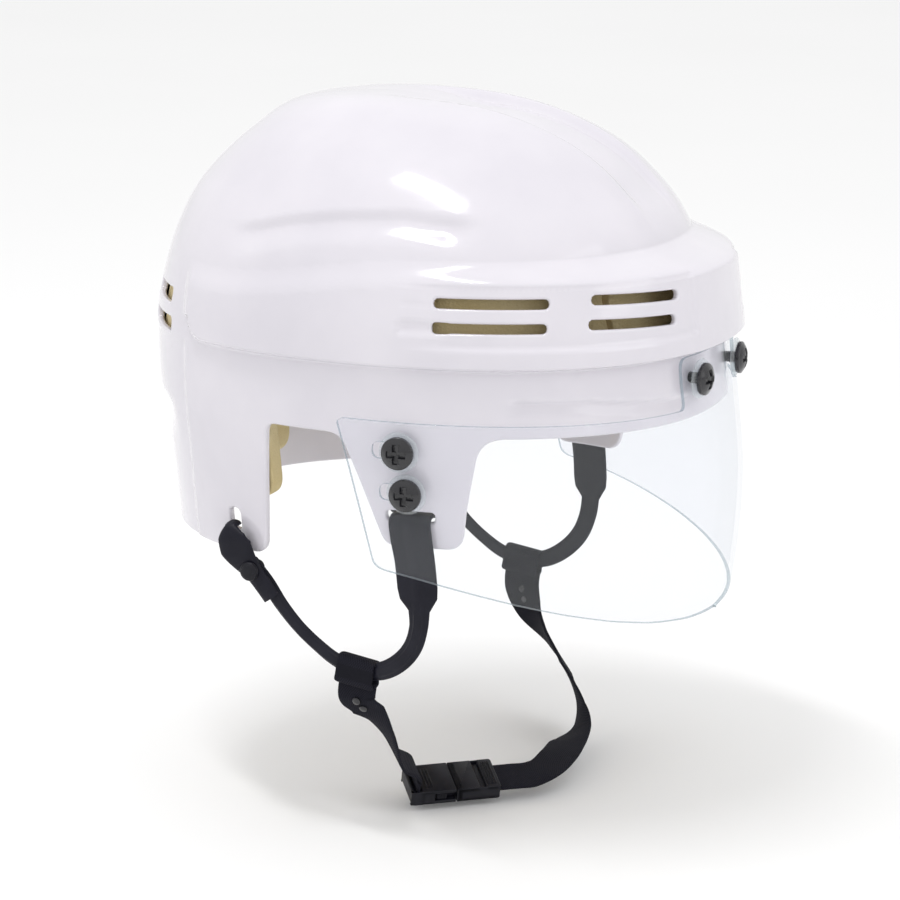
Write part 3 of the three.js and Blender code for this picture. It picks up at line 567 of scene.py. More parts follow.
SIDE_OUTLINE = [
    (90, BRIM_Z, 0),
    (56, BRIM_Z, 10),
    (49.5, -60, 2),
    (47, FRONT_FLAP_Z, 7),
    (14, FRONT_FLAP_Z, 5),
    (-4, EAR_TOP_Z, 7),
    (-40, EAR_TOP_Z, 4),
    (-45, REAR_RIM_Z + 2, 7),
    (-70, REAR_RIM_Z, 3),
    (-100, REAR_RIM_Z, 0),
]


def shell_params(points):
    """Row numbers and angles of (x, z) points on the right side."""
    t = row_of_height(SHELL_ROWS, points[:, 1], True)
    return np.stack([t, angle_at_x(SHELL_ROWS, points[:, 0], points[:, 1], True)], 1)


def level_line(z, start, end, count=120):
    """A line at one height, between two angles."""
    t = row_of_height(SHELL_ROWS, z, True)[0]
    return np.stack([np.full(count, t), np.linspace(start, end, count)], 1)


def shell_rim():
    side = shell_params(rounded(SIDE_OUTLINE, closed=False))
    front = level_line(BRIM_Z, 0, side[0, 1])
    rear = level_line(REAR_RIM_Z, side[-1, 1], -np.pi)
    return np.vstack([front[:-1], side, rear[1:]])


def stadium(centre, width, height, radius):
    a, b = width / 2, height / 2
    x, z = centre
    corners = [(x - a, z - b), (x + a, z - b), (x + a, z + b), (x - a, z + b)]
    return rounded([(*corner, radius) for corner in corners])


def wall_hole(ring_at, z_at, middle_x, width, height, radius, drop=0.0):
    """A rounded slot in a wall: its width runs along the wall, and drop is how far its front end falls."""
    angle = np.linspace(-np.pi, 0, 1500)
    ring = ring_at(angle, z_at)
    length = np.concatenate([[0], np.cumsum(np.linalg.norm(np.diff(ring, axis=0), axis=1))])
    middle = np.interp(middle_x, ring[:, 0], length)
    outline = stadium((0, z_at), width, height, radius)
    outline[:, 1] -= drop * outline[:, 0] / width
    return np.interp(middle + outline[:, 0], length, angle), outline[:, 1]


def shell_ring(angle, z):
    row = row_of_height(SHELL_ROWS, z, True)
    return shell_base(np.stack([np.repeat(row, len(angle)), angle], 1))


def shell_hole(*place_and_size, **more):
    angle, z = wall_hole(shell_ring, *place_and_size, **more)
    return np.stack([row_of_height(SHELL_ROWS, z, True), angle], 1)


FRONT_VENTS = {
    "rear_x": 60, "rear_width": 48.4, "front_x": 111.4, "front_width": 43.5,
    "height": 4.1, "drop": 1.8, "corner": 2.0,
}
# The slots for the ear loop and its rear tongue: z, middle x, width, height and corner radius.
STRAP_SLOTS = ((-63, 26, 21, 4.6, 1.6), (-75.5, -61.5, 6.6, 9.6, 2.8))
REAR_VENTS = {"levels": (16, 3.5), "x": -113.5, "width": 37, "height": 6.5, "corner": 1.6}


def shell_holes():
    holes = []
    for z in VENT_LEVELS:
        v = FRONT_VENTS
        holes.append(shell_hole(z, v["rear_x"], v["rear_width"], v["height"], v["corner"]))
        holes.append(shell_hole(z, v["front_x"], v["front_width"], v["height"], v["corner"], drop=v["drop"]))
    for z in REAR_VENTS["levels"]:
        v = REAR_VENTS
        holes.append(shell_hole(z, v["x"], v["width"], v["height"], v["corner"]))
    holes += [shell_hole(*slot) for slot in STRAP_SLOTS]
    return holes


# Where the shell has detail: from a height, to a height, and how far apart its grid rows are there.
ROW_GAPS = [(-22, -8, 1.2), (-1, 6, 0.7), (6, 14, 1.1), (22, 46, 1.2), (46, 66, 1.5), (-55, -26, 1.8)]


def row_gap(z):
    """How far apart the shell's grid rows are at a height: close together where the moulding has detail."""
    gap = np.full_like(z, 2.3)
    for low, high, fine in ROW_GAPS:
        gap[(z >= low) & (z < high)] = fine
    return gap


def shell_grid():
    t = np.linspace(0.02, len(SHELL_ROWS) - 1, 4000)
    row = row_values(SHELL_ROWS, t, True)
    step = np.hypot(np.diff(row[:, 0]), np.diff(row[:, 3]))
    count = np.concatenate([[0], np.cumsum(step / row_gap(row[1:, 0]))])
    rows = np.interp(np.arange(1, int(count[-1])), count, t)
    grid = [np.array([[0.02, 0.0]])]
    angle = np.linspace(-np.pi, 0, 600)
    for at in rows:
        ring = ring_points(np.repeat(row_values(SHELL_ROWS, np.array([at]), True), len(angle), 0), angle)
        length = np.concatenate([[0], np.cumsum(np.linalg.norm(np.diff(ring, axis=0), axis=1))])
        around = np.interp(np.linspace(0, length[-1], max(3, int(length[-1] / 2.2))), length, angle)
        grid.append(np.stack([np.full(len(around), at), around], 1))
    return np.vstack(grid)


def build_shell():
    surface = {"place": shell_place, "flat": shell_flat, "step": SHELL_STEP, "seam": 1}
    return skin("shell_moulding", surface, shell_rim(), shell_holes(), shell_grid(), WALL, (1.2, 0.8))


# ---- visor

VISOR_EDGE = {"start": 12, "z": -85, "reach": 121, "drop": 33, "power": 1.2}
VISOR_TAB = {"top": 0.1, "half": 31.5, "shoulder": -22.0}


def visor_low(x):
    f = np.clip((x - VISOR_EDGE["start"]) / VISOR_EDGE["reach"], 0, 1)
    return VISOR_EDGE["z"] - VISOR_EDGE["drop"] * f ** VISOR_EDGE["power"]


def visor_rim():
    def side(x, z, radius):
        return (angle_at_x(VISOR_ROWS, x, z)[0] * VISOR_SPREAD, z, radius)

    tab = -VISOR_TAB["half"] * 1.01
    low = [side(x, float(visor_low(x)), 0) for x in (30, 50, 70, 88, 104, 116, 125, 130)]
    corners = [
        (0, VISOR_TAB["top"], 0),
        (tab, VISOR_TAB["top"], 5),
        (tab, VISOR_TAB["shoulder"], 3),
        side(-5, -21, 3),
        side(VISOR_EDGE["start"], VISOR_EDGE["z"], 4),
        *low,
        (0, float(visor_low(133.0)), 0),
    ]
    line = rounded(corners, closed=False)
    return np.stack([line[:, 0] / VISOR_SPREAD, line[:, 1]], 1)


SIDE_SCREWS = (("upper", 24.0, -33.4), ("lower", 27.2, -51.2))


def visor_ring(angle, z):
    return visor_place(np.stack([angle, np.full(len(angle), z)], 1))


def visor_holes():
    holes = []
    for _, x, z in SIDE_SCREWS:
        angle, height = wall_hole(visor_ring, z, x - 4.6, 15.4, 7.2, 3.2)
        holes.append(np.stack([angle, height], 1))
    return holes


def build_visor():
    heights = np.arange(-121, 1, 3.0)
    angle = np.linspace(-1.75, 0, 75)
    grid = np.array([(a, z) for z in heights for a in angle])
    surface = {"place": visor_place, "flat": visor_flat, "step": VISOR_STEP, "seam": 0}
    edge = (0.3, 0.3)
    return skin("visor_sheet", surface, visor_rim(), visor_holes(), grid, VISOR_THICK, edge, edge_slot=1)


# ---- foam liner

PAD_GAP = 1.0
PAD_HOLE_RADIUS = 4.2
PAD_ROUNDING = (0.9, 2.4)
PAD_SPACING = 1.8
FRONT_SCREW = {"y": 22.5, "z": -10.0, "turn": 0.105, "out": 0.5}
NUT_POCKET_RADIUS = 7.8
# Half the visor's width at the front screws, which turns their distance across it into an angle.
POCKET_HALF_WIDTH = 108
CROWN_PAD = {"row": 1.2, "thick": 9.0, "hole_row": 0.35, "hole_radius": 4.4}

# Each pad's start and end angle in degrees, bottom and top height, and thickness.
PADS = {
    "forehead_pad": (-30, 30, -24, 34, 10),
    "nape_pad": (152, 208, -82, -8, 9),
    "occipital_pad": (150.6, 209.4, -5, 58, 9),
    "temple_pad_right": (-84, -31.4, -2, 40, 8),
    "temple_pad_left": (31.4, 84, -2, 40, 8),
    "rear_side_pad_right": (-149, -105, -66, 34, 8.4),
    "rear_side_pad_left": (105, 149, -66, 34, 8.4),
}


def liner_place(p):
    """The back of the foam, which follows the smooth shell a small gap inside it, at angle and height."""

    def smooth_shell(q):
        return ring_points(row_values(SHELL_ROWS, row_of_height(SHELL_ROWS, q[:, 1], True), True), q[:, 0])

    return smooth_shell(p) - facing(smooth_shell, p, VISOR_STEP) * (WALL + PAD_GAP)


def pad_holes(turn, count_around, heights):
    """Round ventilation holes through a pad, at even angles and the given heights."""
    low, high = turn
    holes = []
    for z in heights:
        for f in (np.arange(count_around) + 0.5) / count_around:
            a = np.linspace(0, 2 * np.pi, 40)
            around = low + (high - low) * f + PAD_HOLE_RADIUS * np.cos(a) / PAD_SPREAD
            holes.append(np.stack([around, z + PAD_HOLE_RADIUS * np.sin(a)], 1))
    return holes


def build_pad(name):
    low, high, bottom, top, thick = PADS[name]
    low, high = math.radians(low), math.radians(high)
    reach = PAD_SPREAD
    centre = ((low + high) / 2 * reach, (bottom + top) / 2)
    outline = stadium(centre, (high - low) * reach, top - bottom - 2, 9)
    rim = np.stack([outline[:, 0] / reach, outline[:, 1]], 1)
    gap = 3.0
    around = np.linspace(low, high, int((high - low) * reach / gap))
    grid = np.array([(a, z) for z in np.arange(bottom, top, gap) for a in around])
    surface = {"place": liner_place, "flat": lambda p: p * [reach, 1], "step": VISOR_STEP}
    middle = (bottom + top) / 2
    tall = top - bottom > 50
    heights = (bottom + (top - bottom) * 0.28, top - (top - bottom) * 0.28) if tall else (middle,)
    count = max(2, int((high - low) * reach / 30))
    holes = pad_holes((low, high), count, heights)
    if name == "forehead_pad":
        holes = nut_pockets()
    elif name.startswith(("temple", "occipital")):
        holes = []
    foam_name = name.replace("pad", "foam")
    return skin(foam_name, surface, rim, holes, grid, thick, PAD_ROUNDING, PAD_SPACING)


def nut_pockets():
    """Round pockets in the forehead foam behind the two front screws."""
    a = np.linspace(0, 2 * np.pi, 50)
    pockets = []
    for side in (-1, 1):
        middle = side * (FRONT_SCREW["y"] / POCKET_HALF_WIDTH) ** (SECTION_POWER / 2)
        around = middle + NUT_POCKET_RADIUS * np.cos(a) / PAD_SPREAD
        pockets.append(np.stack([around, FRONT_SCREW["z"] + NUT_POCKET_RADIUS * np.sin(a)], 1))
    return pockets


def build_crown_pad():
    depth = WALL + PAD_GAP + CHANNEL["depth"] * 0.9

    def dome(p):
        return ring_points(row_values(SHELL_ROWS, p[:, 0], True), p[:, 1])

    def place(p):
        safe = np.column_stack([np.maximum(p[:, 0], 0.05), p[:, 1]])
        return dome(safe) - facing(dome, safe, SHELL_STEP) * depth

    a = np.linspace(0, 2 * np.pi, 200)
    rim = np.stack([np.full(len(a), CROWN_PAD["row"]), a], 1)
    rows = np.linspace(0.06, CROWN_PAD["row"], 26)
    grid = [(t, b) for t in rows for b in np.linspace(0, 2 * np.pi, int(4 + 110 * t), endpoint=False)]
    hole = shell_flat(np.array([[CROWN_PAD["hole_row"], 0.0]]))[0, 0]
    holes = []
    t = np.linspace(0, CROWN_PAD["row"], 300)
    reach = shell_flat(np.stack([t, np.zeros(300)], 1))[:, 0]
    for x, y in ((hole, 0), (-hole * 1.5, hole), (-hole * 1.5, -hole)):
        b = np.linspace(0, 2 * np.pi, 40)
        u, v = x + CROWN_PAD["hole_radius"] * np.cos(b), y + CROWN_PAD["hole_radius"] * np.sin(b)
        holes.append(np.stack([np.interp(np.hypot(u, v), reach, t), np.unwrap(np.arctan2(v, u))], 1))
    surface = {"place": place, "flat": shell_flat, "step": SHELL_STEP}
    grid, thick = np.array(grid), CROWN_PAD["thick"]
    return skin("crown_foam", surface, rim, holes, grid, thick, PAD_ROUNDING, PAD_SPACING)


# ---- turned hardware


def turned(name, profile, at, way, count=48, cross=None):
    """A piece turned about its own axis from (radius, height) points, at a place and facing a way."""
    z_axis = unit(np.array(way, float))
    x_axis = unit(np.cross([0.0, 0.0, 1.0], z_axis))
    y_axis = np.cross(z_axis, x_axis)
    profile = np.array(profile, float)
    angle = np.linspace(0, 2 * np.pi, count, endpoint=False)
    points, faces = [], []
    for radius, height in profile:
        u, v = radius * np.cos(angle), radius * np.sin(angle)
        h = np.full(count, height)
        if cross is not None:
            h = h - cross(u, v, h)
        points.append(np.stack([u, v, h], 1))
    rings = len(profile)
    for i in range(rings - 1):
        for j in range(count):
            k = (j + 1) % count
            faces.append([i * count + j, i * count + k, (i + 1) * count + k, (i + 1) * count + j])
    points = np.vstack(points)
    world = np.array(at) + points @ np.array([x_axis, y_axis, z_axis])
    piece = make_mesh(name, world, faces)
    tidy_mesh(piece, 40)
    return piece


def tidy_mesh(piece, sharp_degrees):
    """Merges doubled points, closes open ends, turns the faces out and keeps only real corners sharp."""
    work = bmesh.new()
    work.from_mesh(piece.data)
    bmesh.ops.remove_doubles(work, verts=work.verts, dist=2e-6)
    bmesh.ops.dissolve_degenerate(work, edges=work.edges, dist=1e-6)
    bmesh.ops.holes_fill(work, edges=[e for e in work.edges if e.is_boundary], sides=0)
    bmesh.ops.recalc_face_normals(work, faces=work.faces)
    work.to_mesh(piece.data)
    work.free()
    piece.data.shade_smooth()
    piece.data.set_sharp_from_angle(angle=math.radians(sharp_degrees))


def screw_places():
    """Each visor screw: its name, the point on the visor's outside, and the way its head faces."""
    places = []
    for side, word in ((-1, "right"), (1, "left")):
        for level, x, z in SIDE_SCREWS:
            angle = angle_at_x(VISOR_ROWS, x, z)
            p, q = visor_place(np.array([[angle[0], z], [angle[0] - 0.02, z]]))
            way = np.cross([0, 0, 1], [q[0] - p[0], q[1] - p[1], 0])
            way = unit(way * (1 if way[1] < 0 else -1))
            places.append((f"{word}_{level}", (p[0], -side * p[1], z), (way[0], -side * way[1], 0)))
        y, z, turn = FRONT_SCREW["y"], FRONT_SCREW["z"], FRONT_SCREW["turn"]
        half = visor_place(np.array([[np.pi / 2, z]]))[0, 1]
        p = visor_place(np.array([[math.asin((y / half) ** (SECTION_POWER / 2)), z]]))[0]
        way = unit(np.array([1, side * turn, 0.0]))
        places.append((f"front_{word}", (p[0] + FRONT_SCREW["out"], side * p[1], z), tuple(way)))
    return places


SCREW = {"head": 7.0, "dome": 4.2, "shank": 2.5, "under": 2.1, "arm": 4.1, "arm_half": 0.95}


def cross_recess(u, v, h):
    """The depth of the cross-shaped driver recess in a screw's domed top."""
    narrow, wide = np.minimum(np.abs(u), np.abs(v)), np.maximum(np.abs(u), np.abs(v))
    half = SCREW["arm_half"] + 0.12 * wide
    mask = 1 - smooth(half - 0.16, half + 0.16, narrow)
    mask = mask * (1 - smooth(SCREW["arm"] - 0.3, SCREW["arm"] + 0.2, wide))
    return np.where(h > SCREW["under"] + 1.5, mask * (2.6 - 0.42 * wide), 0)


def build_screw(name, at, way):
    head, dome, shank, under = SCREW["head"], SCREW["dome"], SCREW["shank"], SCREW["under"]
    reach = -(VISOR_THICK + WALL + 3.5)
    pitch = 0.8
    threads = []
    for z in np.arange(reach + 1, -1.5, pitch):
        threads += [(shank - 0.35, z), (shank, z + pitch / 2)]
    turns = np.radians(np.linspace(0, 80, 9))
    rim = [(head - 0.7 + 0.7 * math.cos(a), under + 1.3 + 0.7 * math.sin(a)) for a in turns]
    top_z = rim[-1][1]
    radii = np.linspace(rim[-1][0], 0, 34)[1:]
    domed = [(r, top_z + (dome - 2.2) * (1 - (r / rim[-1][0]) ** 2.4)) for r in radii]
    base = [(0, reach), (shank - 0.5, reach)] + threads + [(shank, -1), (shank, under), (head - 0.3, under)]
    return turned(name, base + [(head, under + 0.3)] + rim + domed, at, way, 96, cross_recess)


def build_washer(name, at, way):
    low, hole = GAP + 0.1, 2.9
    profile = [(hole, low), (8.4, low), (8.6, low + 0.5), (8.3, low + 1.0)]
    profile += [(7.6, low + 1.25), (6.6, low + 1.3), (hole + 0.2, low + 1.3), (hole, low + 1.1), (hole, low)]
    return turned(name, profile, at, way, 64)


NUT_STANDOFF = {"upper": 3.2, "lower": 4.6, "front": 3.4}


def build_nut(name, at, way, standoff):
    hole, back = 2.85, -(VISOR_THICK + WALL + standoff)
    profile = [(hole, back), (7.0, back), (7.2, back - 0.2), (7.2, back - 1.3)]
    profile += [(6.9, back - 1.6), (4.6, back - 1.6)]
    profile += [(4.4, back - 2.0), (4.4, back - 4.7), (4.1, back - 5.0), (hole, back - 5.0), (hole, back)]
    return turned(name, profile, at, way, 64)


# ---- straps and webbing

X_WAY = (1, 0, 0)
FLAP_WAY = (1, 0.14, 0)

# Place, direction across and width at each station, on the right side. The ear loop goes out through the
# flap's slot, down, round under the ear and up behind.
LOOP_STATIONS = [
    ((26, -90.4, -63), X_WAY, 25),
    ((26, -92.4, -63), X_WAY, 25),
    ((26, -93.4, -63), X_WAY, 18.4),
    ((26, -98, -63), FLAP_WAY, 18.2),
    ((26.2, -100.5, -65), FLAP_WAY, 18.4),
    ((26.8, -100.6, -71), FLAP_WAY, 18.4),
    ((28.3, -99.9, -82), FLAP_WAY, 17.8),
    ((29.2, -99.3, -93.5), FLAP_WAY, 17.8),
    ((29.5, -98.9, -98.5), FLAP_WAY, 16.6),
    ((29.6, -98.6, -104), FLAP_WAY, 9.4),
    ((28.8, -97.6, -112), (1, 0, -0.2), 8.6),
    ((25.6, -96.4, -121), (0.85, 0, -0.5), 8.5),
    ((19, -95, -129), (0.6, 0, -0.8), 8.4),
    ((9.5, -93.4, -134.8), (0.3, 0, -0.95), 8.2),
    ((-2, -92, -136.3), (0, 0, -1), 7.4),
    ((-13, -91.4, -133.4), (-0.3, 0, -0.95), 6.6),
    ((-22.5, -91.2, -127.6), (-0.55, 0, -0.85), 6.2),
    ((-31, -91.2, -120.8), (-0.65, 0, -0.75), 6.2),
    ((-39, -91.2, -112.2), (-0.75, 0, -0.65), 6.6),
    ((-46, -91.4, -102.6), (-0.85, 0, -0.55), 7.4),
    ((-53.5, -92, -93.5), (-0.85, 0, -0.55), 7.2),
]
TONGUE_STATIONS = [
    ((-61.5, -90.6, -77.5), X_WAY, 5.6),
    ((-61.3, -95.2, -78.2), X_WAY, 6),
    ((-60.4, -96.9, -82), (1, 0, 0.1), 13),
    ((-58.4, -96.6, -87), (0.95, 0, 0.25), 16.5),
    ((-55, -96.1, -92), (0.88, 0, 0.45), 13),
    ((-50.5, -95.3, -97.5), (0.85, 0, 0.52), 9),
    ((-46, -94.6, -103.5), (0.85, 0, 0.52), 8.6),
    ((-42.5, -94.3, -108.5), (0.8, 0, 0.58), 8),
]
BUTTON_AT = (-51.4, -93.7, -96.4)

WEB = {"thick": 1.6}
BUCKLE = {
    "middle": (17.4, -38, -203.2), "heading": 38.9, "roll": 17.0,
    "width": 20.5, "thick": 7.0, "half": 20.5,
}


def buckle_axes():
    """Along the buckle from its socket to its plug, across it, and up through its face."""
    heading, roll = math.radians(BUCKLE["heading"]), math.radians(BUCKLE["roll"])
    along = np.array([math.cos(heading), math.sin(heading), 0])
    level = np.array([math.sin(heading), -math.cos(heading), 0])
    across = level * math.cos(roll) - np.array([0, 0, math.sin(roll)])
    return along, across, np.cross(across, along)


ALONG, ACROSS, UP = buckle_axes()


def on_buckle(s, across=0.0, up=0.0):
    return tuple(np.array(BUCKLE["middle"]) + ALONG * s + ACROSS * across + UP * up)


RIGHT_WEB_STATIONS = [
    ((-2.4, -92.2, -141.6), X_WAY, 18),
    ((-2.8, -92.1, -149.6), X_WAY, 18),
    ((0.6, -88, -155.5), (0.98, 0.1, 0), 17),
    ((3.2, -82, -163.5), (0.9, -0.4, -0.1), 16.6),
    ((4, -74, -173.5), (0.75, -0.65, -0.2), 16.6),
    ((3.9, -64.5, -185), tuple(ACROSS), 17),
    (on_buckle(-17.1, 0, 9), tuple(ACROSS), 17.4),
    (on_buckle(-17.1, 0, 4), tuple(ACROSS), 18),
    (on_buckle(-17.1, 0, -3), tuple(ACROSS), 18),
]
LEFT_WEB_STATIONS = [
    (on_buckle(17.6), tuple(ACROSS), 18),
    (on_buckle(24), tuple(ACROSS), 18),
    (on_buckle(30), tuple(ACROSS), 18),
    (on_buckle(36), tuple(ACROSS), 18),
    ((50.3, -7, -202), (0.8, -0.55, -0.15), 18),
    ((51.6, 6, -200), (1, 0, -0.05), 18),
    ((49.6, 22, -199.4), (1, 0.1, 0.1), 18),
    ((46.6, 38, -200), (0.85, 0.15, 0.45), 18),
    ((42.4, 54, -198.4), (0.35, -0.15, 0.9), 18),
    ((36, 67.5, -192.8), (0.03, -0.48, 0.87), 18),
    ((26, 78, -183.5), (0.05, -0.8, 0.55), 18),
    ((13, 85.5, -171.6), (0.45, -0.8, 0.3), 18),
    ((2.6, 89.4, -160.6), (0.85, -0.4, 0.2), 18),
    ((-2.8, 92.1, -149.6), X_WAY, 18),
    ((-2.4, 92.2, -141.6), X_WAY, 18),
]


def curve_points(stations, t):
    """Points on a centripetal Catmull-Rom curve through the stations, at fractions of its length."""
    pts = np.array([s[0] for s in stations], float)
    last = len(pts) - 1
    pts = np.vstack([2 * pts[0] - pts[1], pts, 2 * pts[-1] - pts[-2]])
    i = np.clip(np.floor(t * last).astype(int), 0, last - 1)
    f = (t * last - i)[:, None]
    p0, p1, p2, p3 = (pts[i + k] for k in range(4))
    pairs = ((p0, p1), (p1, p2), (p2, p3))
    d0, d1, d2 = (np.linalg.norm(b - a, axis=1, keepdims=True) ** 0.5 for a, b in pairs)
    m1 = ((p1 - p0) / d0 - (p2 - p0) / (d0 + d1) + (p2 - p1) / d1) * d1
    m2 = ((p2 - p1) / d1 - (p3 - p1) / (d1 + d2) + (p3 - p2) / d2) * d1
    square = -3 * p1 + 3 * p2 - 2 * m1 - m2
    return p1 + m1 * f + square * f**2 + (2 * p1 - 2 * p2 + m1 + m2) * f**3


def strap_frames(stations, t):
    """A strap's middle, its directions across and out, and its half width, at fractions of its length."""
    t = np.asarray(t, float)
    last = len(stations) - 1
    small = 1e-4
    ahead, behind = np.minimum(t + small, 1), np.maximum(t - small, 0)
    way = unit(curve_points(stations, ahead) - curve_points(stations, behind))
    k = np.clip(np.floor(t * last).astype(int), 0, last - 1)
    f = (t * last - k)[:, None]
    across = np.array([s[1] for s in stations], float)
    width = np.array([s[2] for s in stations], float)
    side = across[k] + (across[k + 1] - across[k]) * f
    side = unit(side - way * (side * way).sum(1, keepdims=True))
    half = (width[k] + (width[k + 1] - width[k]) * f[:, 0]) / 2
    return curve_points(stations, t), side, np.cross(way, side), half


def flat_section(thick, edge=3.2, rib=0.0, rib_half=0.0, bulge=0.0, count=15):
    """A strap's section as a function of its half width: a ring of (across, out) points."""

    def ring(half):
        a = np.sin(np.linspace(-np.pi / 2, np.pi / 2, count))
        body = thick / 2 * (1 - np.abs(a) ** (edge * max(1.0, half / 4))) ** 0.5
        top = body + bulge * (1 - a**2)
        if rib:
            top = top + rib * (1 - smooth(rib_half, rib_half + 0.5, np.abs(a * half)))
        upper = np.stack([a * half, top], 1)
        lower = np.stack([a[::-1] * half, -body[::-1]], 1)
        return np.vstack([upper, lower[1:-1]])

    return ring


def swept(name, frames, section, closed=False, mirror=False, sharp=48):
    """A band swept through frames of place, across, out and half width. Its UVs are length and width."""
    place, across, out, half = frames
    rings = [section(h) for h in half]
    size = len(rings[0])
    points = np.vstack([p + r[:, :1] * a + r[:, 1:] * o for p, a, o, r in zip(place, across, out, rings)])
    length = np.concatenate([[0], np.cumsum(np.linalg.norm(np.diff(place, axis=0), axis=1))])
    count = len(place)
    faces = []
    for i in range(count if closed else count - 1):
        k = (i + 1) % count
        for j in range(size):
            n = (j + 1) % size
            faces.append([i * size + j, k * size + j, k * size + n, i * size + n])
    if not closed:
        faces.append(list(range(size)))
        faces.append([(count - 1) * size + j for j in reversed(range(size))])
    if mirror:
        points = points * [1, -1, 1]
        faces = [f[::-1] for f in faces]
    piece = make_mesh(name, points, faces)
    layer = piece.data.uv_layers.new(name="weave")
    index = np.zeros(len(piece.data.loops), int)
    piece.data.loops.foreach_get("vertex_index", index)
    widths = np.vstack(rings)[:, 0]
    u = np.repeat(length, size)[index]
    layer.data.foreach_set("uv", np.stack([u, widths[index]], 1).ravel())
    turn_out(piece)
    piece.data.set_sharp_from_angle(angle=math.radians(sharp))
    return piece


def turn_out(piece):
    """Turns every face of a closed piece to point out of it."""
    work = bmesh.new()
    work.from_mesh(piece.data)
    bmesh.ops.recalc_face_normals(work, faces=work.faces)
    work.to_mesh(piece.data)
    work.free()


def build_ear_loop(name, mirror):
    frames = strap_frames(LOOP_STATIONS, np.linspace(0, 1, 150))
    return swept(name, frames, flat_section(2.0, rib=0.7, rib_half=1.9, count=23), mirror=mirror)


def build_tongue(name, mirror):
    frames = strap_frames(TONGUE_STATIONS, np.linspace(0, 1, 70))
    return swept(name, frames, flat_section(2.0, bulge=0.5, count=17), mirror=mirror)


def build_button(name, side):
    turns = np.radians(np.linspace(0, 90, 10))
    dome = [(3.2 + 1.1 * math.cos(a), 4.3 + 1.3 * math.sin(a)) for a in turns]
    crown = [(3.2 * math.cos(a), 5.6 + 0.5 * math.sin(a)) for a in turns[1:]]
    profile = [(0, -4.4), (3.0, -4.4), (3.3, -4.1), (3.3, -3.5)]
    profile += [(3.1, -3.3), (1.5, -3.3), (1.5, 3.9), (4.2, 3.9)]
    x, y, z = BUTTON_AT
    return turned(name, profile + dome + crown, (x, -side * y, z), (0, side, 0), 40)


SLEEVE = {"at": (-2.4, -92.2, -136.2), "half": 9.0, "thick": 1.6, "tilt": 8.0}


def build_sleeve(name, side):
    """The folded end of the webbing, wrapped round the bottom of the ear loop."""
    tilt = math.radians(SLEEVE["tilt"])
    along = np.array([math.cos(tilt), 0, -math.sin(tilt)])
    upward = np.cross(along, [0, 1, 0])
    path = rounded([(-3.4, -6.6, 2.9), (3.4, -6.6, 2.9), (3.4, 5.2, 2.9), (-3.4, 5.2, 2.9)], 0.25)[:-1]
    place = np.array(SLEEVE["at"]) + path[:, :1] * np.array([0, 1.0, 0]) + path[:, 1:] * upward
    way = unit(np.roll(place, -1, 0) - np.roll(place, 1, 0))
    across = np.tile(along, (len(place), 1))
    wave = SLEEVE["half"] + 0.25 * np.sin(np.linspace(0, 6 * np.pi, len(place), endpoint=False))
    frames = (place, across, np.cross(way, across), wave)
    return swept(name, frames, flat_section(SLEEVE["thick"], edge=9), closed=True, mirror=side > 0)


def build_webbing(name, stations, count):
    frames = strap_frames(stations, np.linspace(0, 1, count))
    return swept(name, frames, flat_section(WEB["thick"], edge=7))


CAVITY = {"width": 16.6, "height": 3.8, "depth": 14.2, "window": 9.6}
WEB_SLOT = {"from": -18.4, "to": -15.8, "width": 18.8}


def in_buckle_axes(points):
    """Points in the buckle's own axes (along, across, up), moved to where the buckle is."""
    p = np.asarray(points, float)
    return np.array(BUCKLE["middle"]) + p[:, :1] * ALONG + p[:, 1:2] * ACROSS + p[:, 2:] * UP


def plate(outline, low, high, soft=0.5):
    """A flat plate with softened edges, from an outline in (along, across): its points and faces."""
    outline = np.array(outline, float)
    way = unit(np.roll(outline, -1, 0) - np.roll(outline, 1, 0))
    middle = outline.mean(0)
    inward = np.stack([-way[:, 1], way[:, 0]], 1)
    inward *= np.sign(((middle - outline) * inward).sum())
    levels = []
    for turn in np.radians([0, 30, 60, 90]):
        levels.append((soft * (1 - math.sin(turn)), low + soft * (1 - math.cos(turn))))
    levels += [(inset, low + high - z) for inset, z in reversed(levels)]
    points = [np.column_stack([outline + inward * inset, np.full(len(outline), z)]) for inset, z in levels]
    count = len(outline)
    faces = [list(range(count)), [(len(levels) - 1) * count + i for i in reversed(range(count))]]
    for k in range(len(levels) - 1):
        for i in range(count):
            j = (i + 1) % count
            faces.append([k * count + i, k * count + j, (k + 1) * count + j, (k + 1) * count + i])
    return np.vstack(points), faces


def plates(name, parts):
    """One piece from several overlapping plates of the buckle."""
    points, faces, count = [], [], 0
    for outline, low, high, soft in parts:
        p, f = plate(outline, low, high, soft)
        points.append(p)
        faces += [[i + count for i in face] for face in f]
        count += len(p)
    piece = make_mesh(name, in_buckle_axes(np.vstack(points)), faces)
    turn_out(piece)
    piece.data.set_sharp_from_angle(angle=math.radians(50))
    return piece


def box_outline(start, end, half, corner=0.5, far_corner=None):
    far = corner if far_corner is None else far_corner
    corners = [(start, -half, corner), (end, -half, far), (end, half, far), (start, half, corner)]
    return rounded(corners, 0.4)


def grip_ridges(start, end, count, half, level, height=0.45):
    """Small rounded ridges across the buckle's face."""
    at = np.linspace(start, end, count)
    sides = ((-level - height, -level + 0.3), (level - 0.3, level + height))
    return [(box_outline(x - 0.35, x + 0.35, half, 0.3), low, high, 0.2) for x in at for low, high in sides]


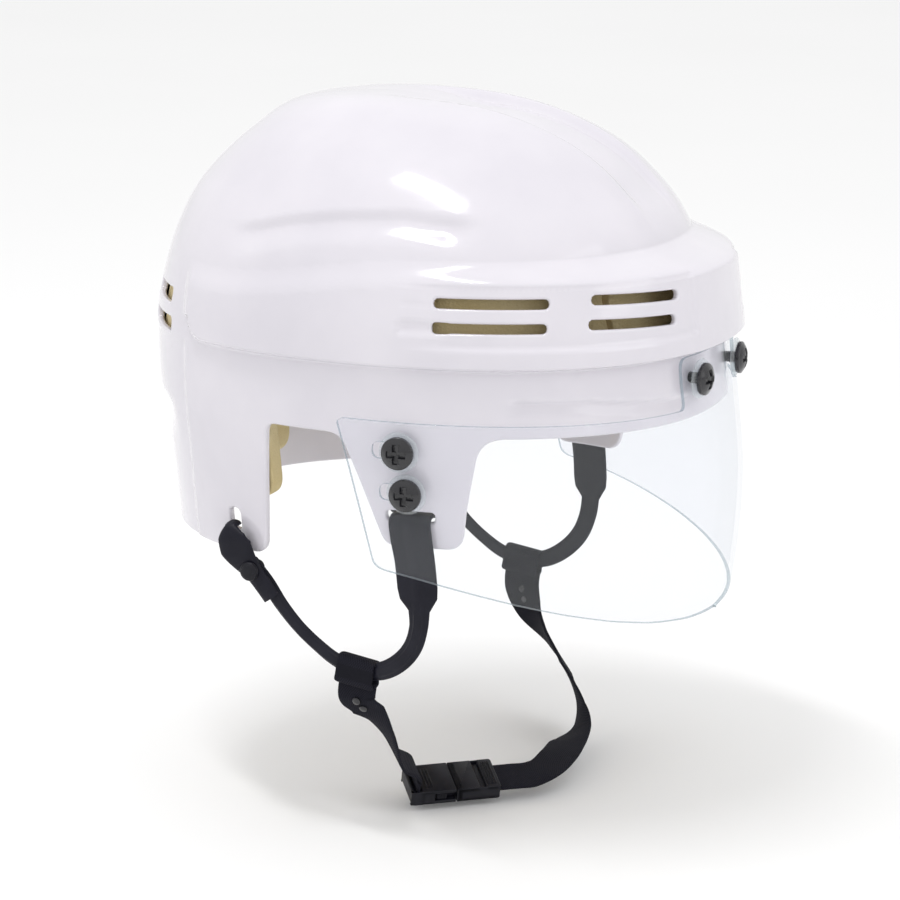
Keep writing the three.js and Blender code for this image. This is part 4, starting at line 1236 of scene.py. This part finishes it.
def build_socket():
    """The buckle's socket: two faces, side walls with thumb windows, a bar and raised finger ridges."""
    half, thick, width = BUCKLE["half"], BUCKLE["thick"] / 2, BUCKLE["width"] / 2
    inner = CAVITY["height"] / 2
    parts = []
    for low, high in ((inner, thick), (-thick, -inner)):
        parts.append((box_outline(WEB_SLOT["to"], -0.02, width, 0.8, 0.5), low, high, 0.45))
    back = box_outline(WEB_SLOT["to"], -CAVITY["depth"], width, 0.6)
    parts.append((back, -thick + 0.3, thick - 0.3, 0.3))
    for side in (-1, 1):
        edge = side * CAVITY["width"] / 2
        wall = [(WEB_SLOT["to"], edge, 0), (-CAVITY["window"], edge, 0.4)]
        wall += [(-CAVITY["window"], side * width, 0.8), (WEB_SLOT["to"], side * width, 0)]
        parts.append((rounded(wall, 0.4), -thick + 0.25, thick - 0.25, 0.2))
        edge = side * WEB_SLOT["width"] / 2
        end = [(-half, edge, 0), (WEB_SLOT["to"] + 0.5, edge, 0)]
        end += [(WEB_SLOT["to"] + 0.5, side * width, 0), (-half, side * width, 2.4)]
        parts.append((rounded(end, 0.4), -thick, thick, 0.25))
    parts.append((box_outline(-half, WEB_SLOT["from"], width - 0.4, 1.0), -thick, thick, 0.7))
    parts += grip_ridges(-13.2, -10.4, 3, width - 3.4, thick)
    return plates("buckle_socket_body", parts)


def build_plug():
    """The buckle's plug: its face, the tongue that guides it, the web bar and finger ridges."""
    half, thick, width = BUCKLE["half"], BUCKLE["thick"] / 2, BUCKLE["width"] / 2
    channel = WEB["thick"] / 2 + 0.4
    parts = [(box_outline(GAP, 3.4, width, 0.6), -thick, thick, 0.5)]
    parts.append((box_outline(GAP, half, width, 0.6, 1.6), -thick, -channel, 0.5))
    parts.append((box_outline(GAP, 11.0, width, 0.6), channel, thick, 0.5))
    parts.append((box_outline(14.0, half, width, 0.6, 1.6), channel, thick, 0.5))
    parts.append((box_outline(10.6, 14.4, width - 1.2, 0.2), channel, thick - 1.3, 0.2))
    for side in (-1, 1):
        rail = [(GAP, side * (width - 0.85), 0), (half - 0.2, side * (width - 0.85), 0)]
        rail += [(half - 0.2, side * width, 0.6), (GAP, side * width, 0)]
        parts.append((rounded(rail, 0.4), -thick + 0.3, thick - 0.3, 0.2))
    parts.append((box_outline(1 - 12.5, 1.5, 3.0, 0.6), -1.5, 1.5, 0.3))
    parts += grip_ridges(15.4, 18.6, 4, width - 2.2, thick)
    return plates("buckle_plug_body", parts)


def build_prong(name, w):
    """A sprung arm of the plug, with the ridged thumb pad that shows in the socket's side."""
    corners = [(-12.5, w * 5.2, 0.4), (0.6, w * 5.2, 0), (0.6, w * 7.6, 0), (-4.2, w * 7.6, 0.4)]
    corners += [(-4.2, w * 9.6, 0.6), (-9, w * 9.6, 0.6), (-9.2, w * 7.8, 0), (-12.5, w * 6.6, 0.4)]
    parts = [(rounded(corners, 0.4), -1.5, 1.5, 0.25)]
    for x in (-8.1, -7.1, -6.1, -5.1):
        edge = [(x - 0.25, w * 9.4, 0), (x + 0.25, w * 9.4, 0)]
        edge += [(x + 0.25, w * 9.9, 0.2), (x - 0.25, w * 9.9, 0.2)]
        parts.append((rounded(edge, 0.3), -1.3, 1.3, 0.1))
    return plates(name, parts)


RIVET = {"shank": 0.9, "head": 1.9, "tail": 1.6, "clear": 0.65}
RIGHT_RIVETS = {"upper": 0.13, "lower": 0.205}
LEFT_RIVETS = {"upper": 0.918, "lower": 0.888}


def build_rivet(name, stations, t):
    place, _, out, _ = strap_frames(stations, np.array([t]))
    way = out[0] * (1 if out[0][1] * place[0][1] > 0 else -1)
    under = WEB["thick"] / 2 + RIVET["clear"] - 0.45
    turns = np.radians(np.linspace(0, 90, 8))
    head = [(RIVET["head"] * math.cos(a), under + 0.3 + 0.9 * math.sin(a)) for a in turns]
    tail, shank = RIVET["tail"], RIVET["shank"]
    profile = [(0, -under - 0.7), (tail - 0.2, -under - 0.7), (tail, -under - 0.5)]
    profile += [(tail, -under), (shank, -under)]
    return turned(name, profile + [(shank, under), (RIVET["head"], under)] + head, place[0], way, 32)


# ---- materials


class Look:
    """A procedural material with a Principled shader, and ways to add noise, colour and bump to it."""

    def __init__(self, name, colour, roughness, **values):
        self.material = bpy.data.materials.new(name)
        self.material.use_nodes = True
        self.tree = self.material.node_tree
        self.shader = self.tree.nodes["Principled BSDF"]
        self.shader.inputs["Base Color"].default_value = (*colour, 1)
        self.shader.inputs["Roughness"].default_value = roughness
        for socket, value in values.items():
            self.shader.inputs[socket.replace("_", " ")].default_value = value
        self.bumped = None

    def node(self, kind, **settings):
        node = self.tree.nodes.new("ShaderNode" + kind)
        for key, value in settings.items():
            setattr(node, key, value)
        return node

    def link(self, source, target):
        self.tree.links.new(source, target)

    def coords(self, stretch=(1, 1, 1), uv=None):
        """Object coordinates in metres, or a UV map's, stretched."""
        if uv:
            source = self.node("UVMap", uv_map=uv).outputs["UV"]
        else:
            source = self.node("TexCoord").outputs["Object"]
        mapping = self.node("Mapping")
        mapping.inputs["Scale"].default_value = stretch
        self.link(source, mapping.inputs["Vector"])
        return mapping.outputs["Vector"]

    def noise(self, scale, detail=3.0, stretch=(1, 1, 1), uv=None):
        node = self.node("TexNoise")
        node.inputs["Scale"].default_value = scale
        node.inputs["Detail"].default_value = detail
        self.link(self.coords(stretch, uv), node.inputs["Vector"])
        return node.outputs["Fac"]

    def ranged(self, value, low, high, to_low=0.0, to_high=1.0):
        node = self.node("MapRange")
        numbers = (low, high, to_low, to_high)
        for socket, number in zip(("From Min", "From Max", "To Min", "To Max"), numbers):
            node.inputs[socket].default_value = number
        self.link(value, node.inputs["Value"])
        return node.outputs["Result"]

    def maths(self, operation, a, b):
        node = self.node("Math", operation=operation)
        for socket, value in zip(node.inputs, (a, b)):
            if isinstance(value, (int, float)):
                socket.default_value = value
            else:
                self.link(value, socket)
        return node.outputs[0]

    def blend(self, factor, first, second):
        node = self.node("Mix", data_type="RGBA")
        mix_a, mix_b = node.inputs[6], node.inputs[7]
        mix_a.default_value, mix_b.default_value = (*first, 1), (*second, 1)
        self.link(factor, node.inputs[0])
        return node.outputs[2]

    def colour(self, factor, first, second):
        self.link(self.blend(factor, first, second), self.shader.inputs["Base Color"])

    def roughness(self, factor, low, high):
        self.link(self.ranged(factor, 0.3, 0.7, low, high), self.shader.inputs["Roughness"])

    def bump(self, height, distance, strength=1.0):
        node = self.node("Bump")
        node.inputs["Distance"].default_value = distance
        node.inputs["Strength"].default_value = strength
        self.link(height, node.inputs["Height"])
        if self.bumped is not None:
            self.link(self.bumped, node.inputs["Normal"])
        self.bumped = node.outputs["Normal"]
        self.link(self.bumped, self.shader.inputs["Normal"])


def shell_look():
    look = Look("moulded_white_plastic", (0.83, 0.82, 0.87), 0.2, Coat_Weight=0.5, Coat_Roughness=0.03)
    look.colour(look.ranged(look.noise(18, 4), 0.35, 0.65), (0.675, 0.652, 0.705), (0.725, 0.70, 0.75))
    look.roughness(look.noise(55, 5), 0.07, 0.14)
    look.bump(look.noise(320, 1), 0.00003, 0.15)
    scuffs = look.ranged(look.noise(60, 6, (1, 1, 14)), 0.62, 0.7)
    look.bump(scuffs, 0.00001, 0.4)
    return look.material


def foam_look():
    look = Look("closed_cell_foam", (0.62, 0.55, 0.30), 0.92, Specular_IOR_Level=0.25)
    look.colour(look.ranged(look.noise(35, 4), 0.3, 0.7), (0.58, 0.47, 0.245), (0.69, 0.59, 0.36))
    cells = look.node("TexVoronoi")
    cells.inputs["Scale"].default_value = 900
    look.link(look.coords(), cells.inputs["Vector"])
    look.bump(cells.outputs["Distance"], 0.0003, 0.7)
    look.bump(look.noise(260, 4), 0.0005, 0.4)
    return look.material


def rubber_look():
    look = Look("black_rubber", (0.01, 0.01, 0.014), 0.5, Specular_IOR_Level=0.22)
    look.colour(look.ranged(look.noise(60, 4), 0.35, 0.7), (0.004, 0.004, 0.010), (0.011, 0.011, 0.019))
    look.roughness(look.noise(90, 5), 0.36, 0.58)
    look.bump(look.noise(1400, 3), 0.00005, 0.6)
    return look.material


def hardware_look():
    look = Look("black_enamel", (0.008, 0.008, 0.011), 0.22, Coat_Weight=0.4, Coat_Roughness=0.12)
    look.roughness(look.noise(300, 4), 0.16, 0.32)
    look.bump(look.noise(1500, 2), 0.00003, 0.5)
    return look.material


def acetal_look():
    look = Look("black_acetal", (0.008, 0.008, 0.012), 0.42, Specular_IOR_Level=0.26)
    look.colour(look.ranged(look.noise(70, 4), 0.35, 0.7), (0.006, 0.006, 0.01), (0.014, 0.014, 0.02))
    look.roughness(look.noise(160, 4), 0.34, 0.5)
    look.bump(look.noise(2600, 3), 0.00006, 0.7)
    return look.material


def steel_look():
    look = Look("zinc_plated_steel", (0.55, 0.56, 0.58), 0.32, Metallic=1.0)
    look.roughness(look.noise(400, 5), 0.24, 0.44)
    look.bump(look.noise(1200, 3), 0.00002, 0.5)
    return look.material


def webbing_look():
    """Woven nylon: warp ribs along the strap, crossed by picks, from the strap's own length and width."""
    look = Look("black_nylon_webbing", (0.008, 0.008, 0.014), 0.8, Specular_IOR_Level=0.18)
    parts = look.node("SeparateXYZ")
    look.link(look.coords(uv="weave"), parts.inputs["Vector"])
    length, width = parts.outputs["X"], parts.outputs["Y"]
    rib = look.maths("SINE", look.maths("MULTIPLY", width, 2 * math.pi / 1.1), 0)
    shift = look.maths("MULTIPLY", look.maths("SIGN", rib, 0), math.pi / 2)
    picks = look.maths("MULTIPLY", length, 2 * math.pi / 1.3)
    pick = look.maths("SINE", look.maths("ADD", picks, shift), 0)
    weave = look.maths("ADD", look.maths("MULTIPLY", look.maths("ABSOLUTE", rib, 0), 0.7), pick)
    look.bump(weave, 0.00018, 0.8)
    look.bump(look.noise(3000, 2), 0.00005, 0.5)
    # Painted highlight: the raised threads of the weave are painted lighter than the sunken ones, following
    # the same heights as the bump.
    look.colour(look.ranged(weave, -0.6, 1.5), (0.004, 0.004, 0.008), (0.016, 0.016, 0.026))
    return look.material


def clear_look(name, tint, roughness, gloss, most, body=(0.9, 0.93, 0.94)):
    """A clear plastic: what is behind shows through it unbent, and it mirrors more at a glancing view."""
    look = Look(name, body, roughness, IOR=1.58)
    look.bump(look.noise(25, 2), 0.0003, 0.05)
    clear = look.node("BsdfTransparent")
    clear.inputs["Color"].default_value = (*tint, 1)
    fresnel = look.node("LayerWeight")
    fresnel.inputs["Blend"].default_value = 0.35
    factor = look.ranged(fresnel.outputs["Facing"], 0.35, 1.0, gloss, most)
    mix = look.node("MixShader")
    look.link(factor, mix.inputs["Fac"])
    look.link(clear.outputs[0], mix.inputs[1])
    look.link(look.shader.outputs[0], mix.inputs[2])
    look.link(mix.outputs[0], look.tree.nodes["Material Output"].inputs["Surface"])
    return look.material


# ---- assembly


def dress(piece, body, slot, look, *nodes):
    """Gives a piece its material and hides the nodes it stands for. A piece whose body is a name is hung on
    that body; any other piece has its place baked into its mesh. The slot is not used.
    """
    piece.data.materials.append(look)
    if isinstance(body, str):
        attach(piece, body)
    else:
        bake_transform(piece)
    if nodes:
        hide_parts(*nodes)
    return piece


LOOP_BLEND = ("helmet", "chin_strap", (-0.016, 0, -0.098), (-0.016, 0, -0.136))


def assemble():
    shell = shell_look()
    foam = foam_look()
    rubber = rubber_look()
    hardware = hardware_look()
    acetal = acetal_look()
    steel = steel_look()
    webbing = webbing_look()
    visor = clear_look("clear_visor_sheet", (0.97, 0.975, 0.986), 0.03, 0.03, 0.2)
    visor_edge = clear_look("visor_cut_edge", (0.62, 0.7, 0.74), 0.12, 0.3, 0.7, (0.5, 0.56, 0.6))
    washer = clear_look("clear_washer_plastic", (0.93, 0.95, 0.96), 0.12, 0.14, 0.7)

    dress(build_shell(), "helmet", "shell", shell, "shell")
    visor_sheet = dress(build_visor(), "helmet", "visor", visor, "visor")
    visor_sheet.data.materials.append(visor_edge)
    visor_sheet.visible_shadow = False
    visor_sheet.visible_diffuse = False
    for name in PADS:
        dress(build_pad(name), "helmet", "foam", foam, name)
    dress(build_crown_pad(), "helmet", "foam", foam, "crown_pad")

    for name, at, way in screw_places():
        standoff = NUT_STANDOFF.get(name.split("_")[1], NUT_STANDOFF["front"])
        dress(build_screw(f"screw_{name}", at, way), "helmet", "hardware", hardware, f"visor_screw_{name}")
        disc = build_washer(f"washer_{name}", at, way)
        dress(disc, "helmet", "clear_washer", washer, f"visor_washer_{name}")
        nut = build_nut(f"nut_{name}", at, way, standoff)
        dress(nut, "helmet", "nut_metal", steel, f"visor_nut_{name}")

    for side, word in ((-1, "right"), (1, "left")):
        left = side > 0
        dress(build_ear_loop(f"loop_{word}", left), LOOP_BLEND, "rubber", rubber, f"ear_loop_{word}")
        dress(build_tongue(f"tongue_{word}", left), "helmet", "rubber", rubber, f"rear_tongue_{word}")
        dress(build_button(f"button_{word}", side), "helmet", "hardware", acetal, f"loop_button_{word}")
        sleeve = build_sleeve(f"sleeve_{word}", side)
        dress(sleeve, "chin_strap", "webbing", webbing, f"strap_sleeve_{word}")
    right = build_webbing("webbing_right", RIGHT_WEB_STATIONS, 130)
    left = build_webbing("webbing_left", LEFT_WEB_STATIONS, 320)
    dress(right, "chin_strap", "webbing", webbing, "chin_webbing_right")
    dress(left, "chin_strap", "webbing", webbing, "chin_webbing_left")
    webs = (("right", RIGHT_WEB_STATIONS, RIGHT_RIVETS), ("left", LEFT_WEB_STATIONS, LEFT_RIVETS))
    for word, stations, rivets in webs:
        for level, t in rivets.items():
            name = f"{word}_{level}"
            rivet = build_rivet(f"rivet_{name}", stations, t)
            dress(rivet, "chin_strap", "hardware", hardware, f"strap_rivet_{name}")
    dress(build_socket(), "chin_strap", "hardware", acetal, "buckle_socket")
    dress(build_plug(), "buckle_plug", "hardware", acetal, "buckle_plug")
    for word, way in (("front", 1), ("rear", -1)):
        arm = build_prong(f"prong_{word}_arm", way)
        dress(arm, f"prong_{word}", "hardware", acetal, f"release_prong_{word}")


# ---- camera and lights

VIEW = {"azimuth": 24.0, "elevation": 14.5, "distance": 1.4, "lens": 124.3}
TARGET = Vector((0, 0, -0.06))
FLOOR = {"half": 20000, "below": 3.0}
# How high in the sky the grey starts and stops changing, and the light's strength at each.
WORLD_RANGE = {"From Min": 0.0, "From Max": 0.7, "To Min": 0.84, "To Max": 0.99}


def add_camera():
    a, e = math.radians(VIEW["azimuth"]), math.radians(VIEW["elevation"])
    back = Vector((math.sin(a) * math.cos(e), -math.cos(a) * math.cos(e), math.sin(e)))
    data = bpy.data.cameras.new("camera")
    data.lens = VIEW["lens"]
    data.sensor_width = 36
    camera = bpy.data.objects.new("camera", data)
    camera.location = TARGET + back * VIEW["distance"]
    camera.rotation_euler = back.to_track_quat("Z", "Y").to_euler()
    bpy.context.scene.collection.objects.link(camera)
    bpy.context.scene.camera = camera


def add_light(name, place, size, power):
    """A rectangular area light that faces the camera's target."""
    data = bpy.data.lights.new(name, "AREA")
    data.energy = power
    data.size = size[0]
    data.shape = "RECTANGLE"
    data.size_y = size[1]
    light = bpy.data.objects.new(name, data)
    light.location = place
    light.rotation_euler = (Vector(place) - TARGET).to_track_quat("Z", "Y").to_euler()
    bpy.context.scene.collection.objects.link(light)


def add_stage():
    bpy.context.scene.view_settings.view_transform = "Standard"
    world = bpy.data.worlds.new("studio")
    bpy.context.scene.world = world
    world.use_nodes = True
    tree = world.node_tree
    tree.nodes["Background"].inputs["Color"].default_value = (1, 1, 1, 1)
    height = tree.nodes.new("ShaderNodeSeparateXYZ")
    tree.links.new(tree.nodes.new("ShaderNodeTexCoord").outputs["Generated"], height.inputs["Vector"])
    ranged = tree.nodes.new("ShaderNodeMapRange")
    for socket, value in WORLD_RANGE.items():
        ranged.inputs[socket].default_value = value
    tree.links.new(height.outputs["Z"], ranged.inputs["Value"])
    tree.links.new(ranged.outputs["Result"], tree.nodes["Background"].inputs["Strength"])
    low = cad_box[0][2] / MM - FLOOR["below"]
    corners = [(x * FLOOR["half"], y * FLOOR["half"], low) for x, y in ((-1, -1), (1, -1), (1, 1), (-1, 1))]
    floor = make_mesh("floor", corners, [[0, 1, 2, 3]])
    look = Look("pale_floor", (0.93, 0.93, 0.93), 0.9, Specular_IOR_Level=0.0)
    look.colour(look.noise(3, 2), (0.92, 0.92, 0.92), (0.94, 0.94, 0.94))
    floor.data.materials.append(look.material)
    add_light("overhead", (0.1, -0.5, 2.2), (3.0, 2.4), 1.2)
    add_light("window", (-0.2, -0.36, 1.42), (0.62, 0.13), 6)
    add_light("front_fill", (1.6, -0.3, 0.6), (1.0, 1.0), 2.5)


add_camera()
add_stage()
assemble()
